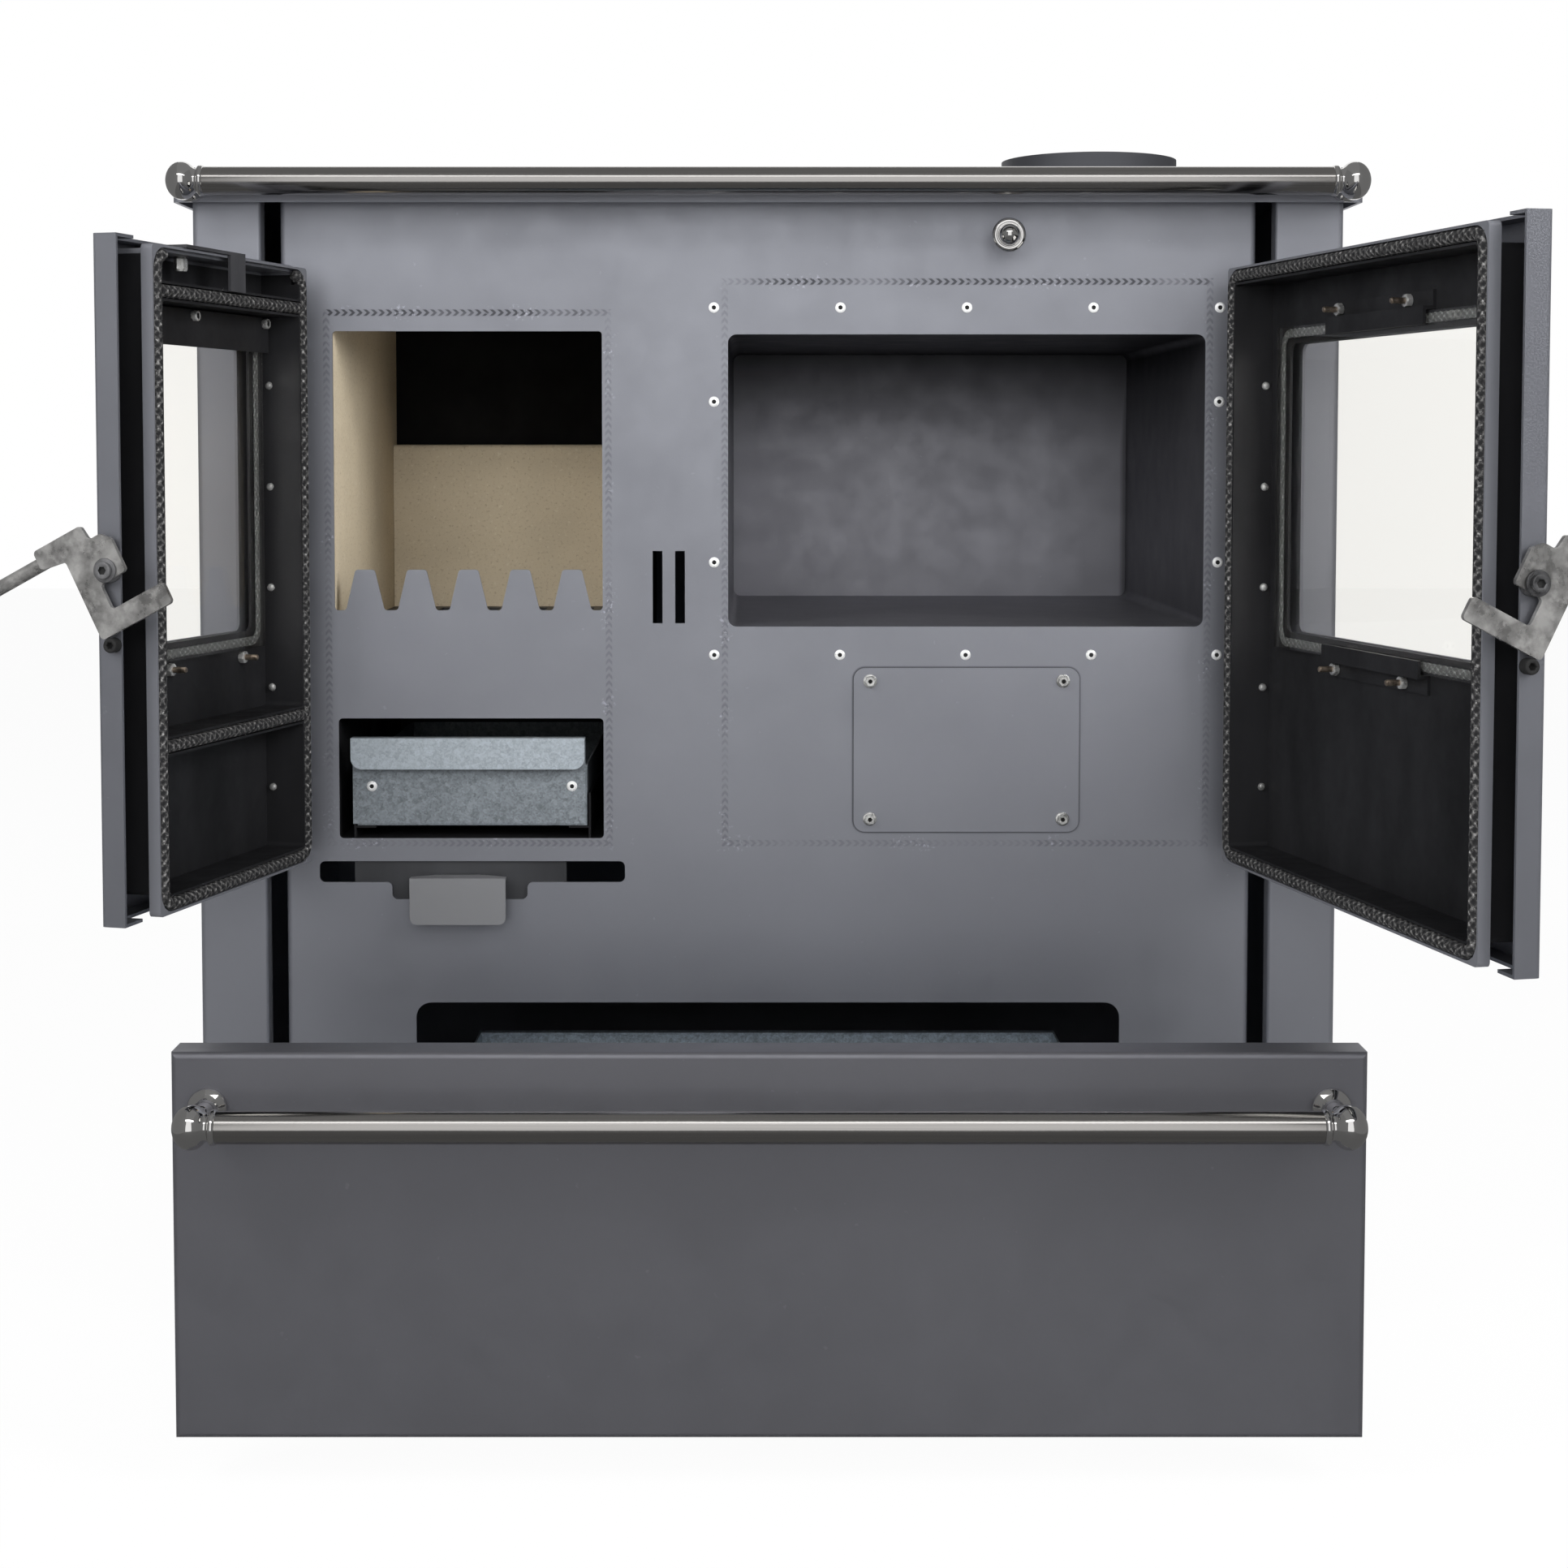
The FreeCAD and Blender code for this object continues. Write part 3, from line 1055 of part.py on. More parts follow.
def glazing(door):
    """The glass pane and the flat seal between it and the skin."""
    w0, w1 = door.window
    seal_back = "skin_ahead - seal_t"
    pane = door.piece("glass")
    outline = pane.sketch("XZ", door.level(seal_back + " - glass_t"))
    rectangle(outline, door.u(w0 + " - glass_lap"), "window_z0 - glass_lap", door.u(w1 + " + glass_lap"),
              "window_z1 + glass_lap")
    pane.pad(outline, "glass_t")
    seal = door.piece("glass_seal")
    ring = seal.sketch("XZ", door.level(seal_back))
    reach = "(seal_w + seal_inset)"
    rounded(ring, door.u(w0 + " - " + reach), "window_z0 - " + reach, door.u(w1 + " + " + reach),
            "window_z1 + " + reach, "window_r + seal_w")
    rounded(ring, door.u(w0 + " - seal_inset"), "window_z0 - seal_inset", door.u(w1 + " + seal_inset"),
            "window_z1 + seal_inset", "window_r")
    seal.pad(ring, "seal_t")


def clip_profile(z_glass, away):
    """A bent clip in section: a lip over the glass edge and a foot on the skin."""
    lip = "skin_ahead - seal_t - glass_t"
    edge = "%s + %d * runner_gap" % (z_glass, away)
    tip = "%s - %d * clip_lip" % (z_glass, away)
    far = "%s + %d * clip_foot" % (z_glass, away)
    fold = "%s + %d * (runner_gap + retainer_t)" % (z_glass, away)
    return [
        (lip, tip), (lip + " - retainer_t", tip), (lip + " - retainer_t", fold),
        ("skin_ahead - retainer_t", fold), ("skin_ahead - retainer_t", far), ("skin_ahead", far),
        ("skin_ahead", edge), (lip, edge),
    ]


def retainer_profile():
    """The firebox glass retainer in section: a plate over the glass, folded back to the skin at its top."""
    face = "skin_ahead - seal_t - glass_t"
    low = "window_z1 - retainer_low"
    high = low + " + retainer_h"
    return [
        (face, low), (face + " - retainer_t", low), (face + " - retainer_t", high), ("skin_ahead", high),
        ("skin_ahead", high + " - retainer_t"), (face, high + " - retainer_t"),
    ]


def clip(door, u0, length, profile):
    """A glass clip pressed from strip, lying along u."""
    points = [door.point(u0, lead, z) for lead, z in profile]
    face = Part.Face(Part.makePolygon(points + points[:1]))
    return face.extrude(V(door.sign * size(length), 0, 0))


def hex_head(diameter, height):
    """A hexagon head or nut standing on Z = 0."""
    r = diameter / 2 / math.cos(math.pi / 6)
    points = [V(r * math.cos(math.pi / 3 * i), r * math.sin(math.pi / 3 * i), 0) for i in range(7)]
    return Part.Face(Part.makePolygon(points)).extrude(V(0, 0, height))


def nut_and_stud():
    """A hexagon nut with the end of its stud standing out."""
    stud = Part.makeCylinder(size("stud_d / 2"), size("bolt_h + stud_out"))
    return hex_head(size("bolt_d"), size("bolt_h")).fuse(stud)


def socket_screw():
    """A cylinder-head screw with a round socket."""
    r, h = size("socket_d / 2"), size("bolt_h")
    return turned([(0, 0), (r, 0), (r, h), (r / 2, h), (r / 2, h / 2), (0, h / 2)])


def wall_rivets(door):
    """Five rivet heads on the inside of the frame's hinge-side wall."""
    head = flat_head(size("wall_rivet_d"), size("wall_rivet_h"))
    u = "%s + %s + frame_wall" % (door.rope[0], CHANNEL)
    last = 4
    levels = ["wall_rivet_z0 + (wall_rivet_z1 - wall_rivet_z0) * %g" % (i / last) for i in range(last + 1)]
    return [aimed(head, door.point(u, "wall_rivet_ahead", z), V(door.sign, 0, 0)) for z in levels]


def door_fixings(door, seats, extra=()):
    """Fasteners on the door's inner side: a solid and the (u, ahead, z) of its seat."""
    solids = [aimed(solid, door.point(*place), V(0, 1, 0)) for solid, place in seats]
    door.solids("screws", solids + wall_rivets(door) + list(extra))


def hinge_parts(doors):
    """Ears on the front panel with their pins, and the lugs that turn on them."""
    ears = []
    pins = []
    half, thick = size("ear_w / 2"), size("ear_t")
    lead = size("hinge_ahead")
    pin_r, fit = size(PIN_R), size("pin_fit")
    gap = size("lug_gap")
    for door in doors:
        x, y = door.swing.Base.x, door.swing.Base.y
        lugs = []
        for level in ("ear_lo_z", "ear_hi_z"):
            z = size(level)
            bar = Part.makeBox(2 * half, lead, thick, V(x - half, y, z - thick))
            ear = bar.fuse(Part.makeCylinder(half, thick, V(x, y, z - thick)))
            ears.append(ear.removeSplitter().cut(Part.makeCylinder(pin_r, thick, V(x, y, z - thick))))
            pins.append(Part.makeCylinder(pin_r, 2 * thick + gap, V(x, y, z - thick)))
            reach = size("%s + %s" % (door.rope[0], CHANNEL))
            arm = Part.makeBox(reach, 2 * half, thick, V(0 if door.sign > 0 else -reach, -half, z + gap))
            lug = arm.fuse(Part.makeCylinder(half, thick, V(0, 0, z + gap))).removeSplitter()
            lugs.append(lug.cut(Part.makeCylinder(pin_r + fit, thick, V(0, 0, z + gap))))
        door.solids("lugs", lugs)
    group("hinge_ears", ears)
    group("hinge_pins", pins)


# Latches


def latch(door):
    """A plate lever with a hooked arm and a folded top, its round grip, and its screws."""
    pivot = door.point(door.free + " + latch_off + latch_t / 2", "pivot_ahead", "pivot_z")
    tilt = FreeCAD.Placement(pivot, FreeCAD.Rotation(V(1, 0, 0), size("latch_tilt")))
    place = door.swing.multiply(tilt)
    inward = -door.sign

    lever = Piece(door.name.replace("door", "latch") + "_lever")
    back = "-lever_back"
    spine = "-(lever_back - lever_w)"
    arm_top = "-lever_low + arm_h"
    outline = lever.sketch("YZ")
    polygon(outline, [
        (back, "-lever_low"), ("arm_len", "-lever_low"), ("arm_len", arm_top), (spine, arm_top),
        (spine, arm_top + " + notch_h"), ("lobe_w", arm_top + " + notch_h"), ("lobe_w", "lobe_top - lobe_cut"),
        ("lobe_w - lobe_cut", "lobe_top"), ("-lobe_w / 8", "lobe_top"), ("-lobe_w / 4", "lever_top"),
        (back + " - tab_len", "lever_top"), (back + " - tab_len", "lever_top - tab_h"),
        (back, "lever_top - tab_h - tab_len / 6"),
    ])
    lever.pad(outline, "latch_t", symmetric=True)
    half = size("latch_t / 2")

    def crosses(box):
        return abs(box.XLength - 2 * half) < 1e-3 and box.YLength < 1e-3 and box.ZLength < 1e-3

    lever.fillet(crosses, "lever_r")
    hole = lever.sketch("YZ", "latch_t")
    circle(hole, "0", "0", "pivot_d / 2 + pivot_fit")
    lever.pocket(hole, "2 * latch_t")
    fold = lever.sketch("YZ", "%d * latch_t / 2" % inward)
    rectangle(fold, back + " - tab_len + lever_r", "lever_top - flange_t", "-flange_start", "lever_top")
    lever.pad(fold, "flange_w", reverse=inward < 0)
    lever.body.Placement = place

    grip = Piece(door.name.replace("door", "latch") + "_handle")
    section = grip.sketch("XZ", "lever_back - lever_w / 2")
    circle(section, "%d * (latch_t / 2 + grip_d / 2)" % inward, "grip_up", "grip_d / 2")
    grip.pad(section, "grip_len")
    end = -size("lever_back - lever_w / 2 + grip_len")
    grip.fillet(span((None, end, None), (None, end, None)), "grip_d / 3")
    grip.body.Placement = place

    edge = size(door.free) * door.sign
    shank, washer = size("pivot_d / 2"), size("pivot_head_d / 2")
    play, thick = size("latch_play"), size("latch_t")
    stand = size("latch_off") - play
    top = stand + thick + 2 * play
    screw = turned([
        (0, 0), (washer, 0), (washer, stand), (shank, stand), (shank, top), (washer, top),
        (washer, top + size("pivot_head_t")), (0, top + size("pivot_head_t")),
    ])
    seat = V(edge, pivot.y, pivot.z)
    screws = [aimed(screw, seat, V(door.sign, 0, 0))]
    stop_r = size("stop_d / 2")
    drop = tilt.Rotation.multVec(V(0, -size("stop_back"), -size("lever_low") - stop_r - play))
    length = size("latch_off + latch_t + latch_play")
    screws.append(Part.makeCylinder(stop_r, length, seat + drop, V(door.sign, 0, 0)))
    door.solids("latch_screws", screws)


def slider_base(door):
    """Height of the frame's upper edge, which the secondary-air slide lies on."""
    return "%s + %s + frame_wall + rope_gap" % (door.rope_z[1], CHANNEL)


def air_slider(door):
    """The secondary-air slide on the top of the firebox door, with a slot and a bent-down tab."""
    piece = Piece(door.name.replace("door", "air") + "_slider")
    piece.body.Placement = door.swing
    u0, u1 = "slider_u - slider_len / 2", "slider_u + slider_len / 2"
    base = slider_base(door)
    strip = piece.sketch("XZ", door.level("slider_ahead"))
    rectangle(strip, door.u(u0), base, door.u(u1), base + " + slider_t")
    piece.pad(strip, "slider_h")
    tab = piece.sketch("XZ", door.level("slider_ahead"))
    rectangle(tab, door.u(u0), base + " + slider_t - slider_drop", door.u(u0 + " + slider_tab"),
              base + " + slider_t")
    piece.pad(tab, "slider_t")
    slot = piece.sketch("XY", base)
    middle = "hinge_ahead - slider_bolt_ahead"
    half = "slider_bolt_d / 2 + runner_gap"
    bolt = u1 + " - slider_bolt_in"
    rounded(slot, door.u("%s - slider_travel - (%s)" % (bolt, half)), "%s - (%s)" % (middle, half),
            door.u("%s + %s" % (bolt, half)), "%s + %s" % (middle, half), half + " - rope_gap")
    piece.pocket(slot, "2 * slider_t", symmetric=True)


def slider_bolt(door):
    """The bolt that keeps the slide: a head over the strip, a shank in its slot, a nut below."""
    base = "%s + %s" % (door.rope_z[1], CHANNEL)
    u = "slider_u + slider_len / 2 - slider_bolt_in"
    foot = door.point(u, "slider_bolt_ahead", base)
    rise = size("frame_wall + slider_t + 2 * rope_gap")
    shank, head = size("slider_bolt_d / 2"), size("slider_bolt_d")
    top = rise + size("slider_t")
    bolt = turned([(0, 0), (shank, 0), (shank, rise), (head, rise), (head, top), (0, top)])
    nut = hex_head(size("bolt_d"), size("slider_nut"))
    drop = V(0, 0, -size("frame_wall"))
    return [aimed(bolt, foot, V(0, 0, 1)), aimed(nut, foot + drop, V(0, 0, -1))]


def build():
    base_plinth()
    side_panel("left_side_panel", -1)
    side_panel("right_side_panel", 1)
    back_panel()
    front_panel()
    top_frame()
    hob_plate()
    hob_lid()
    flue_collar()
    bar_front = ahead("rail_ahead")
    tip = "2 * (ball_w + ball_neck_w)"
    rail("top_rail", "rail_len - " + tip, "rail_z", bar_front)
    rail_ends("top_rail_ends", "rail_len - " + tip, "rail_z", bar_front, ahead("top_ahead"))
    firebox_shell()
    firebricks()
    fire_grate()
    ash_chamber()
    ash_runners()
    ash_tray()
    ash_lip()
    ash_rivets()
    oven_liner()
    oven_rivets()
    access_cover()
    air_slide()
    damper()
    drawer_front()
    drawer_box()
    drawer_runners()
    pull = ahead("drawer_ahead + bar_ahead")
    rail("drawer_rail", "bar_len - " + tip, "bar_z", pull)
    rail_ends("drawer_rail_ends", "bar_len - " + tip, "bar_z", pull, ahead("drawer_ahead"))

    fire = Door("fire_door", 1, "fire_door_w", "fire_gasket_free", ("fire_win_u0", "fire_win_u1"), "fire_open")
    oven = Door("oven_door", -1, "oven_door_w", "oven_gasket_free", ("oven_win_u0", "oven_win_u1"), "oven_open")
    seals = ("cross_rope_low", "cross_rope_top")
    door_shell(fire)
    door_frame(fire, seals)
    door_gasket(fire, closed=False)
    cross_ropes(fire, seals)
    door_shell(oven)
    door_frame(oven)
    door_gasket(oven, closed=True)
    for door in (fire, oven):
        glazing(door)
        latch(door)
    hinge_parts((fire, oven))
    air_slider(fire)

    w0, w1 = fire.window
    high, low = "window_z1 + glass_lap", "window_z0 - glass_lap"
    width = "%s - %s + 2 * retainer_side" % (w1, w0)
    fire.solids("glass_retainer", [clip(fire, w0 + " - retainer_side", width, retainer_profile())])
    plate = "skin_ahead - seal_t - glass_t - retainer_t"
    bolt_z = "window_z1 - retainer_low + retainer_h - retainer_bolt_in"
    fixings = []
    for shift in ("", " + fixing_gap"):
        fixings.append((socket_screw(), ("retainer_bolt_u" + shift, plate, bolt_z)))
        fixings.append((nut_and_stud(), ("low_nut_u" + shift, "skin_ahead", low + " - low_nut_drop")))
    door_fixings(fire, fixings, slider_bolt(fire))

    w0, w1 = oven.window
    start = "(%s + %s) / 2 - clip_len / 2" % (w0, w1)
    ends = ((high, 1), (low, -1))
    oven.solids("glass_clips", [clip(oven, start, "clip_len", clip_profile(*end)) for end in ends])
    fixings = []
    for edge, away in ends:
        for shift in ("", " + clip_bolt_gap"):
            u, z = start + " + clip_bolt_in" + shift, "%s + %d * clip_bolt" % (edge, away)
            fixings.append((nut_and_stud(), (u, "skin_ahead - retainer_t", z)))
    door_fixings(oven, fixings)


def write():
    doc.recompute()
    for thing in doc.Objects:
        if "Invalid" in thing.State or "Error" in thing.State:
            raise RuntimeError("failed object: " + thing.Label)
    for piece in pieces:
        shape = piece.Shape
        if shape.isNull() or not shape.isValid():
            raise RuntimeError("bad shape: " + piece.Label)
    os.makedirs("parts", exist_ok=True)
    for piece in pieces:
        piece.Shape.exportStep(os.path.join("parts", piece.Label + ".step"))


build()
write()
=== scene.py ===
import json
import math
import random

import bpy
import numpy as np
from mathutils import Matrix, Vector


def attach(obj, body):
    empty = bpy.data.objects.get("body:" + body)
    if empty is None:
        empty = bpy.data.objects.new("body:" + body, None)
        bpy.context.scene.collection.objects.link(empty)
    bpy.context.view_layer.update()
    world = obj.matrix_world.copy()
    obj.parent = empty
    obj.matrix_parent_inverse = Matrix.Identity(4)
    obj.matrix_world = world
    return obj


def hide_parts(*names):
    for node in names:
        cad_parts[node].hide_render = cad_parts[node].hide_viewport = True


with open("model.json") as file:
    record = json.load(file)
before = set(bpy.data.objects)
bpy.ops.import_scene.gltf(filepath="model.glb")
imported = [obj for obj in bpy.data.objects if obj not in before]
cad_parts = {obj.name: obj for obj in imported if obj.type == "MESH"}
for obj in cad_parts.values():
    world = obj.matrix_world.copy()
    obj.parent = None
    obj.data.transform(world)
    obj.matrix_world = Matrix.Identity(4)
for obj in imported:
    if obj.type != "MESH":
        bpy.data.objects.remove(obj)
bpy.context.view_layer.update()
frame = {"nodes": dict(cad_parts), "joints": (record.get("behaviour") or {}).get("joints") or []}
JOINTS = {j["name"]: j for j in frame["joints"]}
NODES = frame["nodes"]
MM = 0.001

# Camera, as worked out from the photograph's 1932 by 1932 frame
IMAGE = 1932
FOCAL = 2935
OPTICAL_CENTRE = (936, 710.8)
CAMERA_AT = (-5.8 * MM, -1939 * MM, 626 * MM)
CAMERA_PITCH = 3.0
SENSOR_WIDTH = 36
CLIP_START = 0.05

# Lights in metres and watts: name, place, target, width, height, power
STOVE_MIDDLE = (0, -0.3, 0.58)
LIGHTS = (
    ("key_left", (-1.05, -1.25, 1.15), STOVE_MIDDLE, 0.7, 0.9, 18),
    ("key_right", (1.05, -1.25, 1.15), STOVE_MIDDLE, 0.7, 0.9, 22),
    ("front", (-0.3, -2.9, 1.35), STOVE_MIDDLE, 2.4, 0.9, 40),
    ("rear", (0.3, 2.0, 2.0), (0, 0.2, 0.5), 1.6, 1.0, 30),
)
AMBIENT = 0.1
AMBIENT_TINT = (0.93, 0.96, 1.0, 1)
WHITE = (1, 1, 1, 1)
FLOOR_REACH = 9
FLOOR_GLOW = 0.96

# Cards for reflections, in metres: name, low corner, high corner, glow
CARDS = (
    ("ceiling_card", (-2.5, -2.2, 2.3), (2.5, 1.2, 2.3), 0.2),
    ("floor_card", (-2.5, -3.4, 0.004), (2.5, 1.2, 0.004), 0.1),
    ("strip_card", (-2.5, -2.0, 1.75), (1.9, -1.6, 1.75), 2.5),
    ("left_card", (-1.0, -3.2, 0.01), (-1.0, 1.2, 2.3), 0.16),
    ("right_card", (1.0, -3.2, 0.01), (1.0, 1.2, 2.3), 0.16),
)

# Finishes
COAT = (0.385, 0.395, 0.44)
COAT_METAL = 0.86
COAT_ROUGH = 0.46
PAINT_ROUGH = 0.5
DRAWER_COAT = (0.236, 0.237, 0.262)
# Galvanised at the ash tray's shaded tone, which is painted shade
GALVANISED = (0.215, 0.24, 0.262)
LINER_COAT = (0.4, 0.4, 0.44)
DULL = 0.2
BLACK = (0.011, 0.011, 0.012)

# Marks and painted shade on the coat
COVER_BEND = 8 * MM
# Width of the painted shadow round the inspection cover
COVER_SHADOW_WIDTH = 1.6 * MM
PRINT_PERIOD = 5.2 * MM
# Depth of the painted shade under the oven's roof
ROOF_SHADE_DEPTH = 80 * MM

# Rope seals: hairs have their length in millimetres, their root and top in parts of the rope's radius
DOOR_NORMAL = (0.0, 1.0, 0.0)
ROPE_BEND = 9 * MM
TAPE_BEND = 9 * MM
TAPE_HALF_WIDTH = 3.2 * MM
ARC_STEPS = 12
BRAID_PITCH = 6.6 * MM
BRAID_STRANDS = 4
BRAID_SIDES = 32
BRAID_STEP = 0.9 * MM
BRAID_DEPTH = 0.17
BRAID_DIP = 0.4
HAIR_WIDTH = 0.13 * MM
HAIR_LENGTH = (1.0, 2.6)
HAIR_LEAN, HAIR_ROOT, HAIR_TOP = 0.8, 0.8, 0.95

# Small parts: profiles are points of (radius, height) in parts of the part's own radius and height
SMALL_SIDES, LATCH_SIDES, BALL_SIDES = 32, 48, 56
RAIL_BALL_STEPS, DAMPER_BALL_STEPS = 18, 12
THREAD_PITCH = 0.9 * MM
RIVET = ((0.97, 0), (1, 0.25), (0.93, 0.5), (0.74, 0.8), (0.5, 0.98),
         (0.4, 0.96), (0.36, 0.6), (0.3, 0.55), (0.12, 0.7))
RIVET_BORE = 5
WALL_RIVET = ((1, 0), (0.98, 0.3), (0.85, 0.65), (0.55, 0.92), (0.1, 1))
COVER_SCREW = ((0.98, 0), (1, 0.16), (0.94, 0.3), (0.84, 0.34), (0.84, 0.86),
               (0.72, 1), (0.34, 1), (0.26, 0.62), (0.1, 0.6))
COVER_SCREW_FLATS = (3, 4, 5, 6, 7, 8)
COVER_SCREW_RECESS = 6
NUT = ((0.9, 0), (0.9, 0.06), (1.1, 0.14), (1.1, 0.84), (0.93, 1))
NUT_FLATS = (2, 3)
SOCKET_HEAD = ((0.96, 0), (1, 0.08), (1, 0.82), (0.93, 0.95), (0.84, 1))
SOCKET = ((1.15, 1), (1, 0.93), (1, 0.45), (0.3, 0.4))
SOCKET_FLATS = (5, 6, 7, 8)
SOCKET_RECESS = 6


def camera():
    """The camera of the photograph."""
    data = bpy.data.cameras.new("camera")
    data.sensor_width = SENSOR_WIDTH
    data.sensor_fit = "HORIZONTAL"
    data.lens = FOCAL / IMAGE * data.sensor_width
    data.shift_x = (IMAGE / 2 - OPTICAL_CENTRE[0]) / IMAGE
    data.shift_y = (OPTICAL_CENTRE[1] - IMAGE / 2) / IMAGE
    data.clip_start = CLIP_START
    made = bpy.data.objects.new("camera", data)
    made.location = CAMERA_AT
    made.rotation_euler = (math.radians(90 - CAMERA_PITCH), 0, 0)
    bpy.context.scene.collection.objects.link(made)
    bpy.context.scene.camera = made


def area_light(name, place, target, width, height, watts):
    """A soft light that neither the camera nor reflections see."""
    data = bpy.data.lights.new(name, "AREA")
    data.shape = "RECTANGLE"
    data.size = width
    data.size_y = height
    data.energy = watts
    made = bpy.data.objects.new(name, data)
    made.location = place
    aim = Vector(target) - Vector(place)
    made.rotation_euler = aim.to_track_quat("-Z", "Y").to_euler()
    made.visible_camera = False
    made.visible_glossy = False
    bpy.context.scene.collection.objects.link(made)


def sheet(name, low, high, material):
    """A rectangle of the stage between two corners, level or upright along the depth."""
    (x0, y0, z0), (x1, y1, z1) = low, high
    level = z0 == z1
    corners = [low, (x1, y0, z0) if level else (x0, y0, z1), high, (x0, y1, z0)]
    mesh = bpy.data.meshes.new(name)
    mesh.from_pydata(corners, [], [(0, 1, 2, 3)])
    mesh.materials.append(material)
    made = bpy.data.objects.new(name, mesh)
    bpy.context.scene.collection.objects.link(made)
    return made


def card(name, low, high, glow):
    """A sheet that only reflections see: it puts the dark and bright bands into polished metal."""
    s = Shader(name, (0, 0, 0), rough=0.9, Emission_Color=WHITE, Emission_Strength=glow)
    made = sheet(name, low, high, s.material)
    made.visible_camera = False
    made.visible_diffuse = False
    made.visible_transmission = False
    made.visible_shadow = False


def studio():
    """Soft light from high on both sides, a white background and a pale floor."""
    bpy.context.scene.view_settings.view_transform = "Standard"
    for light in LIGHTS:
        area_light(*light)
    world = bpy.data.worlds.new("studio")
    bpy.context.scene.world = world
    world.use_nodes = True
    tree = world.node_tree
    tree.nodes.clear()
    out = tree.nodes.new("ShaderNodeOutputWorld")
    mix = tree.nodes.new("ShaderNodeMixShader")
    ambient = tree.nodes.new("ShaderNodeBackground")
    ambient.inputs["Color"].default_value = AMBIENT_TINT
    ambient.inputs["Strength"].default_value = AMBIENT
    white = tree.nodes.new("ShaderNodeBackground")
    white.inputs["Color"].default_value = WHITE
    tree.links.new(seen_rays(tree), mix.inputs[0])
    tree.links.new(ambient.outputs[0], mix.inputs[1])
    tree.links.new(white.outputs[0], mix.inputs[2])
    tree.links.new(mix.outputs[0], out.inputs["Surface"])
    sheet("floor", (-FLOOR_REACH, -FLOOR_REACH, 0), (FLOOR_REACH, FLOOR_REACH, 0), floor_material())
    for reflector in CARDS:
        card(*reflector)


def seen_rays(tree):
    """1 for rays that show the background: camera, glossy and transmission rays."""
    path = tree.nodes.new("ShaderNodeLightPath")
    first = tree.nodes.new("ShaderNodeMath")
    first.operation = "MAXIMUM"
    second = tree.nodes.new("ShaderNodeMath")
    second.operation = "MAXIMUM"
    tree.links.new(path.outputs["Is Camera Ray"], first.inputs[0])
    tree.links.new(path.outputs["Is Glossy Ray"], first.inputs[1])
    tree.links.new(first.outputs[0], second.inputs[0])
    tree.links.new(path.outputs["Is Transmission Ray"], second.inputs[1])
    return second.outputs[0]


